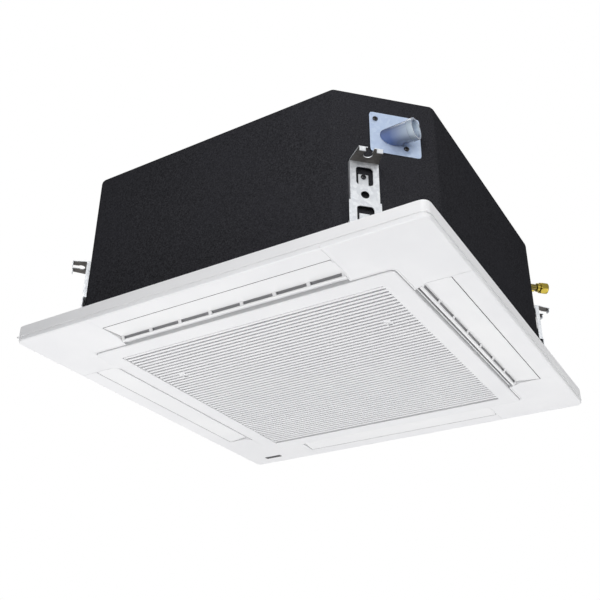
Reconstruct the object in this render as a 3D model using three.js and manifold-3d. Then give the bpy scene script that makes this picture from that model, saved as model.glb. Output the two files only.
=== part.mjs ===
// Ceiling cassette air conditioner, built from separate solids. Units are millimetres and +Z is up.
// The heights below count from the flat face of the panel, and the middle of the panel lies on the Z axis.
import * as THREE from "three";
import { mergeVertices } from "three/addons/utils/BufferGeometryUtils.js";
import Module from "manifold-3d";

const wasm = await Module();
wasm.setup();

// ---------- clearances ----------
const seatGap = 0.3; // pieces that touch each other
const slipGap = 0.4; // a pin or shaft in its hole, all round
const through = 1; // how far a cutter passes beyond the wall it cuts

// ---------- panel ----------
const panelSide = 950;
const panelHeight = 35;
const panelCornerRadius = 16;
const panelWall = 4;
const faceThickness = 3.5;
const rimGrooveBottom = 10;
const rimGrooveTop = 11.5;
const rimGrooveDepth = 1.4;
const lowerLipInset = 0.8;
const lowerLipChamfer = 2;
const bevelOuterHalf = 383; // where the flat face turns down towards the grille
const bevelInnerHalf = 360; // where the bevel meets the chamber wall
const bevelDrop = 6.3;
const bevelCornerRadius = 14;
const chamberWall = 3;
const chamberMouth = -0.5; // the chamber wall's lower edge along the outlets
const ductTop = 58;
const coverThickness = 9.9;
const cornerPlateThickness = 3;
const cornerHoleMargin = 30;

// ---------- air passages ----------
const coilOuterHalf = 352;
const coilThickness = 44;
const slotInner = coilOuterHalf + 12; // the air slot outside the coil
const slotWidth = 41;
const slotOuter = slotInner + slotWidth;
const slotHalfLength = slotOuter - 150;

// ---------- outlets and flaps ----------
const outletOuterHalf = 432.5;
const outletHalfLength = 268;
const outletEndWall = 4;
const seamHalf = outletHalfLength + outletEndWall / 2; // half of a side between two corner covers
const ductWall = 3;
const ductTopOuter = slotOuter;
const flapEndGap = 1.2;
const flapEdgeGap = 1.8;
const flapThickness = 2.6;
const flapCreaseHalf = 376.8; // where the flap's plate meets its step
const flapCreaseRise = 5.6;
const flapStepHalf = 371.5; // the foot of the step, level with the bevel
const flapInnerHalf = 366.7;
const flapHingeHalf = 388;
const flapHingeHeight = 11;
const flapPinRadius = 3;
const flapPinOverhang = 1.5;
const flapLugThickness = 3;
const flapSlotCount = 7;
const flapSlotBottom = -1.1;
const flapSlotTop = 5.2;
const flapRibWidth = 8;
const flapSlotMargin = 3;
const motorCanRadius = 14;
const motorCanLength = 18;
const motorShaftOffset = 8;
const motorFlangeThickness = 1.7;
const motorFlangeHalf = 18;
const motorBossLength = 2.5;
const motorBossRadius = 6;

// ---------- intake grille ----------
const grilleHalf = 355.5;
const grilleBandThickness = 3.5;
const grilleWall = 3.5;
const grilleDrop = 9.6; // how far the grille stands below the panel's flat face
const grilleWallTop = 9.4;
const grilleChamfer = 1.5;
const slatFieldHalf = 315;
const slatBottom = -7.1;
const slatHeight = 4;
const slatPitch = 12.25;
const slatWidth = 7;
const grilleRibWidth = 4;
const grilleRibHeight = 8;
const hingeOffset = 200;
const hingeAxisHalf = 347;
const hingeAxisHeight = -4.1;
const hingePinRadius = 1.6;
const hingeEyeWall = 1.2;
const hingeEyeWidth = 11;
const hingeArmThickness = 5.6;
const hingeArmBottom = 11.4;
const hingeNotchWidth = 15;
const hingeNotchDepth = 12.5;
const hingeSkin = 1.4;

// ---------- grille latches ----------
const latchOffset = 257;
const latchCentre = -172;
const latchKnobWidth = 9;
const latchKnobLength = 12;
const latchTravel = 6;
const latchBezel = 2;
const latchBarWidth = 12;
const latchBarBottom = 1.5;
const latchBarThickness = 3;
const latchEngagement = 2.3;
const latchRidgeHeight = 1.2;

// ---------- air filter ----------
const filterHalf = 338;
const filterThickness = 4;
const filterFrameWidth = 12;
const filterCells = 5;
const filterBarWidth = 3;
const filterMesh = 0.8;

// ---------- receiver window ----------
const windowLength = 50;
const windowWidth = 14;
const windowThickness = 1.8;
const windowX = -396;
const windowY = 431;

// ---------- cabinet ----------
const cabinetBottom = 61;
const cabinetTop = 411;
const slotMargin = 20; // from the slot to the outside of the wrap
const wrapSide = 2 * (slotOuter + slotMargin);
const wrapThickness = 5;
const wrapTopRadius = 14;
const cabinetCornerRadius = 16;
const narrowChamfer = 90; // corners A and C
const wideChamfer = 152; // corners B and D
const narrowReach = chamferReach(narrowChamfer);
const wideReach = chamferReach(wideChamfer);
const shellThickness = 1.2;
const linerThickness = 12;
const linerTopThickness = 14.2;
const gasketTop = 61.7;
const gasketInset = 13;
const gasketInnerHalf = slotInner - 14;
const gasketInnerRadius = 80;

// ---------- drain pan ----------
const panBottom = 62;
const panTop = 150;
const panOpeningHalf = coilOuterHalf - coilThickness - 16;
const panOpeningRadius = 70;
const troughFloor = 112;
const troughMargin = 4;
const coilEnd = coilOuterHalf - 117; // where the coil's two ends stop, either side of corner C
const sumpInner = coilEnd - 5;
const sumpOuter = coilOuterHalf - 8;
const sumpWall = 10;
const coilBlockSize = 20;
const coilBlockOffset = 120;

// ---------- heat exchanger ----------
const coilCornerRadius = 125;
const coilBottom = 138;
const tubePlateThickness = 1.5;
const tubePlateMargin = 4;
const tubePlateLip = 1.5;

// ---------- bell mouth ----------
const fanInletRadius = 200.5;
const bellPlateHalf = panOpeningHalf + 32.5;
const bellPlateThickness = 2.4;
const bellThroatRadius = fanInletRadius - 7.5;
const bellMouthRadius = bellThroatRadius + 43;
const bellTop = 140;

// ---------- turbo fan ----------
const fanRadius = fanInletRadius + 45.5;
const fanInletBottom = 133;
const shroudThickness = 2.5;
const hubPlateBottom = 330;
const hubPlateThickness = 3;
const domeTopRadius = 92;
const domeBottomRadius = 84;
const domeBottom = 250;
const hubBossRadius = 20;
const hubBossHeight = 12;
const bladeCount = 7;
const bladeSteps = 4;
const bladeInnerRadius = 150;
const bladeSweep = 34; // degrees
const bladeThickness = 3.6;
const roundSides = 24;

// ---------- fan motor ----------
const shaftRadius = 6;
const shaftBottom = 236;
const motorBottom = 270;
const motorRadius = 75;
const motorFlangeBottom = 376.4;
const fanMotorFlangeRadius = 102;
const fanMotorFlangeThickness = 3.3;
const motorBoreTop = 340;
const mountCircleRadius = 88;
const studRadius = 4;
const studHeadRadius = 7;
const studHeadHeight = 5;
const rubberRadius = 12;
const bracketDiscRadius = 118;
const bracketDiscThickness = 3;
const nutRadius = 11;
const nutHeight = 9;

// ---------- hanging brackets ----------
const narrowRod = narrowReach + 20.6; // from the middle to a rod, square to the cut-off corner
const wideRod = wideReach + 38.4;
const narrowBracketShift = -36; // along the cut-off corner
const wideBracketShift = -49;
const bracketStandOff = 10;
const bracketSheet = 2;
const bracketHalfWidth = 29;
const bracketFootHalfWidth = 32;
const bracketBottom = 68;
const earLevel = 226;
const earNarrowTip = narrowRod + 22;
const earWideTip = wideRod + 15;
const earTipHalfWidth = 24;
const earSlotWidth = 13;
const earEyeRadius = 9;
const earEyeOffset = 5; // from the rod towards the cabinet
const earEyeClearance = 3.6; // between the eye and the bracket's web
const earLipDrop = 10;
const earLipWidth = 12;
const notchDrop = 93;
const windowHalfWidth = 17;
const windowHeight = 42;
const windowCorner = 6;
const upperWindowDrop = 14;
const lowerWindowDrop = 104;
const tongueHalfWidth = 10;
const tongueHeight = 30;
const holeDrop = 78;
const holeRadius = 8.5;
const screwHeadRadius = 5.5;
const screwHeadHeight = 3;
const screwShankRadius = 2.4;

// ---------- drain connection ----------
const drainPlateWidth = 106;
const drainPlateHeight = 99;
const drainPlateThickness = 2;
const drainPlateCorner = 7;
const drainPlateShift = 21;
const drainPlateLevel = 311.5;
const drainShift = 15;
const drainLevel = 305;
const drainAngle = 43; // degrees from square to the cut-off corner
const stubRadius = 21.5;
const stubWall = 3.5;
const stubLength = 53;
const stubCollarLength = 12;
const stubCollarStep = 1.5;
const stubInnerRadius = 16;
const stubInnerLength = 39;
const nippleRadius = 9;
const nippleBore = 6.5;
const nippleTop = 336;
const plateScrews = [
  { shift: drainPlateShift - 41, level: drainPlateLevel + 32.5 },
  { shift: drainPlateShift + 22, level: drainPlateLevel - 31.5 },
];

// ---------- drain pump, hose and float ----------
const pumpX = coilOuterHalf - 52;
const pumpY = pumpX;
const pumpOutletLevel = 170;
const pumpOutletX = pumpX + 45;
const pumpCanRadius = 28;
const pumpHousingRadius = 20;
const pumpHousingTop = 150;
const pumpCanBottom = 200;
const pumpTop = 252;
const pumpNipple = 8;
const hoseRadius = 11;
const hoseRunX = slotInner + 17;
const hoseRunLevel = 376;
const floatX = coilOuterHalf - 27;
const floatY = coilEnd + 27;
const floatStemRadius = 2.5;
const floatStemTop = 158;
const floatRadius = 11;
const floatHeight = 16;
const floatBottom = 120;

// ---------- refrigerant pipes ----------
const headerInset = 22; // from the coil's outer face to the middle of its thickness
const headerReach = 27; // from the coil's end to the header's axis
const gasHeaderRadius = 9;
const gasPipeRadius = 7.94;
const gasLevel = 303;
const gasShift = -25;
const gasNutAcross = 27;
const liquidHeaderRadius = 6;
const liquidPipeRadius = 4.76;
const liquidLevel = 329;
const liquidShift = 22;
const liquidNutAcross = 18;
const nutStart = narrowReach + 34.6;
const gasNutLength = 30;
const liquidNutLength = 22;
const pipeTip = narrowReach + 56.6;
const headerBottom = 165;
const stubLevels = [200, 280];
const headerStubRadius = 4.5;
const pipePlateHalfLength = 56;
const pipePlateThickness = 1.5;
const pipePlateMargin = 24;

// ---------- electrical box ----------
const boxHalfLength = 140;
const boxOuter = 32 - gasketInnerHalf;
const boxInner = boxOuter + 78;
const boxHeight = 28;
const boxWall = 1.5;
const lidThickness = 1.2;
const boardThickness = 1.6;
const boardHalfLength = 75;
const boardMargin = 8;
const boardStandOff = 6;
const terminalLength = 70;
const terminalWidth = 24;
const terminalHeight = 16;
const terminalPoles = 5;
const glandRadius = 10;
const glandBore = 5;
const glandLength = 14;

// ---------- finishes ----------
const finish = {
  whitePlastic: { color: 0xf1f1f3, roughness: 0.45, metalness: 0 },
  flapPlastic: { color: 0xefeff1, roughness: 0.4, metalness: 0 },
  blackFoam: { color: 0x26262b, roughness: 0.95, metalness: 0 },
  steel: { color: 0xb9bdc2, roughness: 0.35, metalness: 0.9 },
  whiteFoam: { color: 0xe9e9e4, roughness: 0.9, metalness: 0 },
  greyPlastic: { color: 0x8f9296, roughness: 0.55, metalness: 0 },
  darkPlastic: { color: 0x1b1c20, roughness: 0.3, metalness: 0 },
  fanPlastic: { color: 0x3b3f45, roughness: 0.5, metalness: 0 },
  aluminium: { color: 0xc9cdd2, roughness: 0.4, metalness: 0.85 },
  copper: { color: 0xb87345, roughness: 0.3, metalness: 0.95 },
  brass: { color: 0xb08d3a, roughness: 0.3, metalness: 0.9 },
  rubber: { color: 0x202022, roughness: 0.85, metalness: 0 },
  clearPlastic: { color: 0xaec3e6, roughness: 0.12, metalness: 0 },
  greenBoard: { color: 0x2f6b46, roughness: 0.5, metalness: 0 },
  filterCloth: { color: 0x5c6670, roughness: 0.8, metalness: 0 },
};

// ---------- general helpers ----------

// One closed solid from a geometry; triangles that have no area are left out.
function solidFrom(geometry) {
  const plain = geometry.index ? geometry.toNonIndexed() : geometry.clone();
  plain.deleteAttribute("normal");
  plain.deleteAttribute("uv");
  const merged = mergeVertices(plain, 1e-4);
  const corners = [];
  for (let i = 0; i < merged.index.count; i += 3) {
    const [a, b, c] = [0, 1, 2].map((k) => merged.index.getX(i + k));
    if (a !== b && b !== c && c !== a) corners.push(a, b, c);
  }
  const vertProperties = new Float32Array(merged.attributes.position.array);
  const made = solidOfTriangles(vertProperties, corners);
  if (made.volume() > 0) return made;
  const turnedOut = corners.slice();
  for (let i = 0; i < turnedOut.length; i += 3) {
    [turnedOut[i + 1], turnedOut[i + 2]] = [turnedOut[i + 2], turnedOut[i + 1]];
  }
  return solidOfTriangles(vertProperties, turnedOut);
}

function solidOfTriangles(vertProperties, corners) {
  const triVerts = new Uint32Array(corners);
  return new wasm.Manifold(new wasm.Mesh({ numProp: 3, vertProperties, triVerts }));
}

function join(...solids) {
  return solids.reduce((sum, solid) => sum.add(solid));
}

function cut(solid, ...cutters) {
  return cutters.reduce((left, cutter) => left.subtract(cutter), solid);
}

function common(first, second) {
  return first.intersect(second);
}

// A straight-sided body over an outline, with any holes given as outlines too.
function prism(outline, bottom, top, holes = []) {
  const shape = new THREE.Shape(outline.map(([x, y]) => new THREE.Vector2(x, y)));
  shape.holes = holes.map((hole) => new THREE.Path(hole.map(([x, y]) => new THREE.Vector2(x, y))));
  const geometry = new THREE.ExtrudeGeometry(shape, { depth: top - bottom, bevelEnabled: false });
  geometry.translate(0, 0, bottom);
  return solidFrom(geometry);
}

function block(left, right, front, back, bottom, top) {
  const geometry = new THREE.BoxGeometry(right - left, back - front, top - bottom);
  geometry.translate((left + right) / 2, (front + back) / 2, (bottom + top) / 2);
  return solidFrom(geometry);
}

// A body of revolution about the Z axis, from points of radius and height.
function turned(profile, sides = roundSides) {
  const points = profile.map(([radius, height]) => new THREE.Vector2(radius, height));
  const geometry = new THREE.LatheGeometry(points, sides);
  geometry.rotateX(Math.PI / 2);
  return solidFrom(geometry);
}

// The same with the profile closed on itself, for a ring with a hole through it.
function turnedRing(profile, sides = roundSides) {
  return turned([...profile, profile[0]], sides);
}

// A round bar between two points.
function rod(from, to, radius, sides = 16) {
  const start = new THREE.Vector3(...from);
  const run = new THREE.Vector3(...to).sub(start);
  const geometry = new THREE.CylinderGeometry(radius, radius, run.length(), sides);
  const upright = new THREE.Vector3(0, 1, 0);
  const turn = new THREE.Quaternion().setFromUnitVectors(upright, run.clone().normalize());
  geometry.applyQuaternion(turn);
  const middle = start.clone().addScaledVector(run, 0.5);
  geometry.translate(middle.x, middle.y, middle.z);
  return solidFrom(geometry);
}

// A round bar bent through a row of points.
function bentRod(points, radius, steps, sides = 10) {
  const path = new THREE.CatmullRomCurve3(points.map((p) => new THREE.Vector3(...p)), false, "centripetal");
  const ring = [];
  for (let i = 0; i < sides; i++) {
    const angle = (2 * Math.PI * i) / sides;
    ring.push(new THREE.Vector2(radius * Math.cos(angle), radius * Math.sin(angle)));
  }
  const shape = new THREE.Shape(ring);
  return solidFrom(new THREE.ExtrudeGeometry(shape, { steps, extrudePath: path, bevelEnabled: false }));
}

// A body through rings of equally many points, one above the other, closed by a flat face at each end.
function loft(rings) {
  const count = rings[0].points.length;
  const positions = [];
  rings.forEach((ring) => ring.points.forEach(([x, y]) => positions.push(x, y, ring.level)));
  const index = [];
  for (let r = 0; r + 1 < rings.length; r++) {
    for (let i = 0; i < count; i++) {
      const next = (i + 1) % count;
      const [a, b] = [r * count + i, r * count + next];
      index.push(a, b, b + count, a, b + count, a + count);
    }
  }
  const contour = rings[0].points.map(([x, y]) => new THREE.Vector2(x, y));
  const last = (rings.length - 1) * count;
  THREE.ShapeUtils.triangulateShape(contour, []).forEach(([a, b, c]) => {
    index.push(a, c, b, last + a, last + b, last + c);
  });
  return solidFrom(indexedGeometry(positions, index));
}

// A frame with the given cross-section run round a square: points are half width and height.
function squareRing(section, cornerRadius) {
  const rings = section.map(([half, level]) => {
    return { points: squareOutline(half, cornerRadius + half - bevelInnerHalf), level };
  });
  const count = rings[0].points.length;
  const positions = [];
  rings.forEach((ring) => ring.points.forEach(([x, y]) => positions.push(x, y, ring.level)));
  const index = [];
  for (let r = 0; r < rings.length; r++) {
    for (let i = 0; i < count; i++) {
      const next = (i + 1) % count;
      const [a, b] = [r * count + i, r * count + next];
      const above = ((r + 1) % rings.length) * count;
      const [c, d] = [above + i, above + next];
      index.push(a, b, d, a, d, c);
    }
  }
  return solidFrom(indexedGeometry(positions, index));
}

function indexedGeometry(positions, index) {
  const geometry = new THREE.BufferGeometry();
  geometry.setAttribute("position", new THREE.Float32BufferAttribute(positions, 3));
  geometry.setIndex(index);
  return geometry;
}

// A polygon with each corner rounded by an arc of the given number of steps.
function rounded(corners, radius, steps = 4) {
  const points = [];
  corners.forEach(([x, y], i) => {
    const here = new THREE.Vector2(x, y);
    const before = new THREE.Vector2(...corners[(i + corners.length - 1) % corners.length]);
    const after = new THREE.Vector2(...corners[(i + 1) % corners.length]);
    const back = before.sub(here).normalize();
    const on = after.sub(here).normalize();
    const halfAngle = Math.acos(THREE.MathUtils.clamp(back.dot(on), -1, 1)) / 2;
    const reach = radius / Math.sin(halfAngle);
    const centre = here.clone().addScaledVector(back.clone().add(on).normalize(), reach);
    const start = here.clone().addScaledVector(back, radius / Math.tan(halfAngle)).sub(centre);
    const turn = Math.PI - 2 * halfAngle;
    for (let k = 0; k <= steps; k++) {
      const spoke = start.clone().rotateAround(new THREE.Vector2(), (turn * k) / steps);
      points.push([centre.x + spoke.x, centre.y + spoke.y]);
    }
  });
  return points;
}

function squareOutline(half, radius, steps = 4) {
  const corners = [
    [-half, -half],
    [half, -half],
    [half, half],
    [-half, half],
  ];
  return rounded(corners, radius, steps);
}

function rectangle(left, right, front, back) {
  return [
    [left, front],
    [right, front],
    [right, back],
    [left, back],
  ];
}

// The cabinet's eight-sided outline, drawn in by an inset.
function cabinetOutline(inset, steps = 4) {
  const half = wrapSide / 2 - inset;
  const shrink = inset * (2 - Math.SQRT2);
  const narrow = narrowChamfer - shrink;
  const wide = wideChamfer - shrink;
  const corners = [
    [-half, -half + narrow],
    [-half + narrow, -half],
    [half - wide, -half],
    [half, -half + wide],
    [half, half - narrow],
    [half - narrow, half],
    [-half + wide, half],
    [-half, half - wide],
  ];
  return rounded(corners, Math.max(cabinetCornerRadius - inset, 2), steps);
}

// A profile in half width and height, run along one side of the unit, on the side that faces -Y.
function alongSide(profile, from, to) {
  return prism(profile, -to, -from).transform([0, -1, 0, 0, 0, 0, 1, 0, -1, 0, 0, 0, 0, 0, 0, 1]);
}

// An outline drawn in width and height, stood up to face +X, then moved sideways and up.
function standing(outline, from, to, shift, bottom) {
  return prism(outline, from, to).transform([0, 1, 0, 0, 0, 0, 1, 0, 1, 0, 0, 0, 0, shift, bottom, 1]);
}

function quarterTurns(solid) {
  return [0, 90, 180, 270].map((angle) => solid.rotate([0, 0, angle]));
}

const group = new THREE.Group();
group.name = "ceiling_cassette_air_conditioner";

// The whole unit is lifted so that the face of the grille, its lowest, lies at zero.
const unit = new THREE.Group();
unit.position.z = grilleDrop;
group.add(unit);

function addPiece(parent, name, solid, look) {
  const mesh = solid.getMesh();
  const geometry = indexedGeometry(Array.from(mesh.vertProperties), Array.from(mesh.triVerts));
  geometry.computeVertexNormals();
  const piece = new THREE.Mesh(geometry, new THREE.MeshStandardMaterial(look));
  piece.name = name;
  parent.add(piece);
  return piece;
}

// A group whose +X points out of one corner of the unit, at the given height.
function cornerFrame(angle) {
  const frame = new THREE.Group();
  frame.rotation.z = THREE.MathUtils.degToRad(angle);
  unit.add(frame);
  return frame;
}

// A group that carries a piece made for the -Y side to another side.
function sideFrame(angle) {
  const frame = new THREE.Group();
  frame.rotation.z = THREE.MathUtils.degToRad(angle);
  unit.add(frame);
  return frame;
}

// The distance of a cut-off corner's outer face from the middle.
function chamferReach(chamfer) {
  return (wrapSide - chamfer) / Math.SQRT2;
}

// ---------- panel ----------

// Rim, flat face and bevel in one skin, before it is divided into frame and covers.
function panelSkin() {
  const half = panelSide / 2;
  const ring = (inset, level) => {
    return { points: squareOutline(half - inset, panelCornerRadius - inset), level };
  };
  const outer = loft([
    ring(lowerLipInset + lowerLipChamfer, 0),
    ring(lowerLipInset, lowerLipChamfer),
    ring(lowerLipInset, rimGrooveBottom),
    ring(rimGrooveDepth, rimGrooveBottom),
    ring(rimGrooveDepth, rimGrooveTop),
    ring(0, rimGrooveTop),
    ring(0, panelHeight),
  ]);
  const hollowOutline = squareOutline(half - panelWall, panelCornerRadius - panelWall);
  const hollow = prism(hollowOutline, faceThickness, panelHeight + through);
  const dishRadius = bevelCornerRadius + bevelOuterHalf - bevelInnerHalf;
  const dish = prism(squareOutline(bevelOuterHalf, dishRadius), -through, panelHeight);
  const overlap = 3;
  const bevel = squareRing(
    [
      [bevelOuterHalf + overlap, 0],
      [bevelOuterHalf, 0],
      [bevelInnerHalf, -bevelDrop],
      [bevelInnerHalf - chamberWall, -bevelDrop],
      [bevelInnerHalf - chamberWall, faceThickness - bevelDrop],
      [bevelInnerHalf, faceThickness - bevelDrop],
      [bevelOuterHalf, faceThickness],
      [bevelOuterHalf + overlap, faceThickness],
    ],
    bevelCornerRadius,
  );
  return join(cut(outer, hollow, dish), bevel);
}

// The corner of the panel that one cover fills, as a zone on the +X -Y corner.
function coverZone(margin, top) {
  const half = panelSide / 2 + through;
  const bottom = -bevelDrop - through;
  const zone = block(seamHalf + margin, half, -half, -seamHalf - margin, bottom, top);
  const radius = bevelCornerRadius + margin;
  const chamber = prism(squareOutline(bevelInnerHalf + margin, radius), bottom - through, top + through);
  return cut(zone, chamber);
}

// The walls of one outlet duct, on the side that faces -Y.
function ductWalls() {
  const foot = 0.6;
  const outerWall = [
    [outletOuterHalf, foot],
    [outletOuterHalf + ductWall, foot],
    [outletOuterHalf + ductWall, faceThickness],
    [ductTopOuter + ductWall, ductTop],
    [ductTopOuter, ductTop],
    [outletOuterHalf, faceThickness],
  ];
  const endWall = [
    [bevelInnerHalf - chamberWall / 2, through - bevelDrop],
    [bevelOuterHalf, through],
    [outletOuterHalf + through, through],
    [outletOuterHalf + ductWall, faceThickness],
    [ductTopOuter + ductWall, ductTop],
    [bevelInnerHalf - chamberWall / 2, ductTop],
  ];
  const far = outletHalfLength + outletEndWall;
  return join(
    alongSide(outerWall, -far, far),
    alongSide(endWall, -far, -outletHalfLength),
    alongSide(endWall, outletHalfLength, far),
  );
}

// The bearing hole for one flap pin, at the end of the duct given by the sign.
function flapBearing(sign) {
  const near = sign * (outletHalfLength - through);
  const far = sign * (outletHalfLength + outletEndWall + flapPinOverhang + slipGap);
  const from = [near, -flapHingeHalf, flapHingeHeight];
  return rod(from, [far, -flapHingeHalf, flapHingeHeight], flapPinRadius + slipGap, 10);
}

function outletOpening() {
  const half = outletHalfLength;
  return block(-half, half, -outletOuterHalf, -bevelInnerHalf, -bevelDrop - through, panelHeight);
}

// What is left out of the chamber wall below its lower edge, along one outlet.
function chamberGap() {
  const half = outletHalfLength;
  const outside = bevelInnerHalf + through;
  const inside = bevelInnerHalf - chamberWall - through;
  return block(-half, half, -outside, -inside, -bevelDrop - through, chamberMouth);
}

// The plate over one corner cover, with the hole that gives access to the hanging rod.
function cornerPlate() {
  const start = outletHalfLength;
  const end = panelSide / 2 - panelWall / 2;
  const bottom = coverThickness + seatGap;
  const top = bottom + cornerPlateThickness;
  const plate = block(start, end, -end, -start, bottom, top);
  const inner = bevelInnerHalf - chamberWall / 2;
  const chamber = block(0, inner, -inner, 0, bottom - through, top + through);
  const near = seamHalf + cornerHoleMargin;
  const far = panelSide / 2 - cornerHoleMargin;
  const hole = block(near, far, -far, -near, bottom - through, top + through);
  const wallEnd = outletHalfLength + outletEndWall;
  const pocketInner = flapHingeHalf - motorFlangeHalf - slipGap;
  const pocketOuter = flapHingeHalf + motorFlangeHalf + slipGap;
  const motorPocket = block(wallEnd, near + through, -pocketOuter, -pocketInner, bottom - through, top + through);
  return cut(plate, chamber, hole, motorPocket);
}

// The hook on the frame that holds one hinge pin of the grille: an arm from the chamber wall that
// reaches over the grille's edge and comes down to an eye.
function hingeEye(centre) {
  const half = hingeEyeWidth / 2;
  const bore = hingePinRadius + slipGap;
  const axis = (reach, radius) => {
    const from = [centre - reach, hingeAxisHalf, hingeAxisHeight];
    return rod(from, [centre + reach, hingeAxisHalf, hingeAxisHeight], radius, 12);
  };
  const front = hingeAxisHalf - hingeArmThickness / 2;
  const back = hingeAxisHalf + hingeArmThickness / 2;
  const armTop = hingeArmBottom + hingeArmThickness;
  const wallFace = bevelInnerHalf - chamberWall + 1;
  const drop = block(centre - half, centre + half, front, back, hingeAxisHeight, armTop);
  const reachOver = block(centre - half, centre + half, front, wallFace, hingeArmBottom, armTop);
  return cut(join(axis(half, bore + hingeEyeWall), drop, reachOver), axis(half + through, bore));
}

function panelFrame() {
  const chamberSection = [
    [bevelInnerHalf, -bevelDrop],
    [bevelInnerHalf - chamberWall, -bevelDrop],
    [bevelInnerHalf - chamberWall, ductTop],
    [bevelInnerHalf, ductTop],
  ];
  const chamber = squareRing(chamberSection, bevelCornerRadius);
  const openings = quarterTurns(outletOpening());
  const covers = quarterTurns(coverZone(0, coverThickness + seatGap));
  const body = cut(panelSkin(), ...openings, ...covers);
  const walls = quarterTurns(cut(ductWalls(), ...covers));
  const plates = quarterTurns(cornerPlate());
  const eyes = [-hingeOffset, hingeOffset].map(hingeEye);
  const whole = join(body, chamber, ...walls, ...plates, ...eyes);
  const slots = [-latchOffset, latchOffset].map((x) => {
    const half = latchBarWidth / 2 + slipGap;
    const [bottom, top] = latchBarLevels();
    const outside = bevelInnerHalf + through;
    const inside = bevelInnerHalf - chamberWall - through;
    return block(x - half, x + half, -outside, -inside, bottom - slipGap, top + slipGap);
  });
  const bearings = [-1, 1].flatMap((sign) => quarterTurns(flapBearing(sign)));
  return cut(whole, ...quarterTurns(chamberGap()), ...slots, ...bearings);
}

function cornerCover() {
  return common(panelSkin(), coverZone(seatGap, coverThickness));
}

// Cover D has a shallow seat for the receiver window; it is made on the +X -Y corner and turned.
function receiverPocket(depth, margin) {
  const halfLength = windowLength / 2 + margin;
  const halfWidth = windowWidth / 2 + margin;
  const outline = rectangle(
    windowX - halfLength,
    windowX + halfLength,
    windowY - halfWidth,
    windowY + halfWidth,
  );
  return prism(rounded(outline, 2 + margin, 3), margin > 0 ? -through : 0, depth);
}

// ---------- flaps ----------

// A wall of even thickness in section, on the upper side of a line of points that runs outwards.
function thickened(line, thickness) {
  const normals = line.slice(1).map(([x, y], i) => {
    const [dx, dy] = [x - line[i][0], y - line[i][1]];
    const length = Math.hypot(dx, dy);
    return [-dy / length, dx / length];
  });
  const upper = line.map(([x, y], i) => {
    const before = normals[Math.max(i - 1, 0)];
    const after = normals[Math.min(i, normals.length - 1)];
    const sum = [before[0] + after[0], before[1] + after[1]];
    const reach = (2 * thickness) / (sum[0] ** 2 + sum[1] ** 2);
    return [x + sum[0] * reach, y + sum[1] * reach];
  });
  return [...line, ...upper.reverse()];
}

// The plate of a flap rises inwards to a slotted step, whose foot turns inwards along the bevel.
function flap() {
  const outer = outletOuterHalf - flapEdgeGap;
  const bevelLevel = (reach) => (-bevelDrop * (bevelOuterHalf - reach)) / (bevelOuterHalf - bevelInnerHalf);
  const plateLevel = (reach) => (flapCreaseRise * (outer - reach)) / (outer - flapCreaseHalf);
  const section = thickened(
    [
      [flapInnerHalf, bevelLevel(flapInnerHalf)],
      [flapStepHalf, bevelLevel(flapStepHalf)],
      [flapCreaseHalf, flapCreaseRise],
      [outer, 0],
    ],
    flapThickness,
  );
  const half = outletHalfLength - flapEndGap;
  const plate = alongSide(section, -half, half);
  const lugFoot = 9;
  const lugHead = 4;
  const footLevel = (reach) => plateLevel(reach) + flapThickness / 2;
  const lug = [
    [flapHingeHalf - lugFoot, footLevel(flapHingeHalf - lugFoot)],
    [flapHingeHalf + lugFoot, footLevel(flapHingeHalf + lugFoot)],
    [flapHingeHalf + lugHead, flapHingeHeight + lugHead],
    [flapHingeHalf - lugHead, flapHingeHeight + lugHead],
  ];
  const lugs = [
    alongSide(lug, -half, -half + flapLugThickness),
    alongSide(lug, half - flapLugThickness, half),
  ];
  const pinReach = outletHalfLength + outletEndWall + flapPinOverhang;
  const pins = [-1, 1].map((sign) => {
    const from = [sign * (half - 1), -flapHingeHalf, flapHingeHeight];
    return rod(from, [sign * pinReach, -flapHingeHalf, flapHingeHeight], flapPinRadius, 10);
  });
  const slotPitch = (2 * (half - flapSlotMargin)) / flapSlotCount;
  const slots = [];
  for (let i = 0; i < flapSlotCount; i++) {
    const middle = (i + 0.5 - flapSlotCount / 2) * slotPitch;
    const reach = (slotPitch - flapRibWidth) / 2;
    const front = -flapCreaseHalf - through;
    const back = -flapInnerHalf;
    slots.push(block(middle - reach, middle + reach, front, back, flapSlotBottom, flapSlotTop));
  }
  return join(cut(plate, ...slots), ...lugs, ...pins);
}

function flapMotor() {
  const start = outletHalfLength + outletEndWall + seatGap;
  const flangeEnd = start + motorFlangeThickness;
  const canStart = start + motorBossLength;
  const canLevel = flapHingeHeight + motorShaftOffset;
  const canCentre = (along) => [along, -flapHingeHalf, canLevel];
  const flange = block(
    start,
    flangeEnd,
    -flapHingeHalf - motorFlangeHalf,
    -flapHingeHalf + motorFlangeHalf,
    canLevel - motorBossRadius,
    canLevel + motorBossRadius,
  );
  const can = rod(canCentre(flangeEnd - 0.2), canCentre(canStart + motorCanLength), motorCanRadius, 16);
  const onAxis = (along) => [along, -flapHingeHalf, flapHingeHeight];
  const boss = rod(onAxis(start), onAxis(canStart + 1), motorBossRadius, 12);
  const socket = rod(onAxis(start - through), onAxis(start + motorBossLength), flapPinRadius + slipGap, 10);
  return cut(join(flange, can, boss), socket);
}

// ---------- intake grille ----------

function slatHoles() {
  const count = Math.floor((2 * slatFieldHalf - (slatPitch - slatWidth)) / slatPitch) + 1;
  const span = (count - 1) * slatPitch;
  const half = (slatPitch - slatWidth) / 2;
  const holes = [];
  for (let i = 0; i < count; i++) {
    const y = i * slatPitch - span / 2;
    holes.push(rectangle(-slatFieldHalf, slatFieldHalf, y - half, y + half));
  }
  return holes;
}

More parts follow.
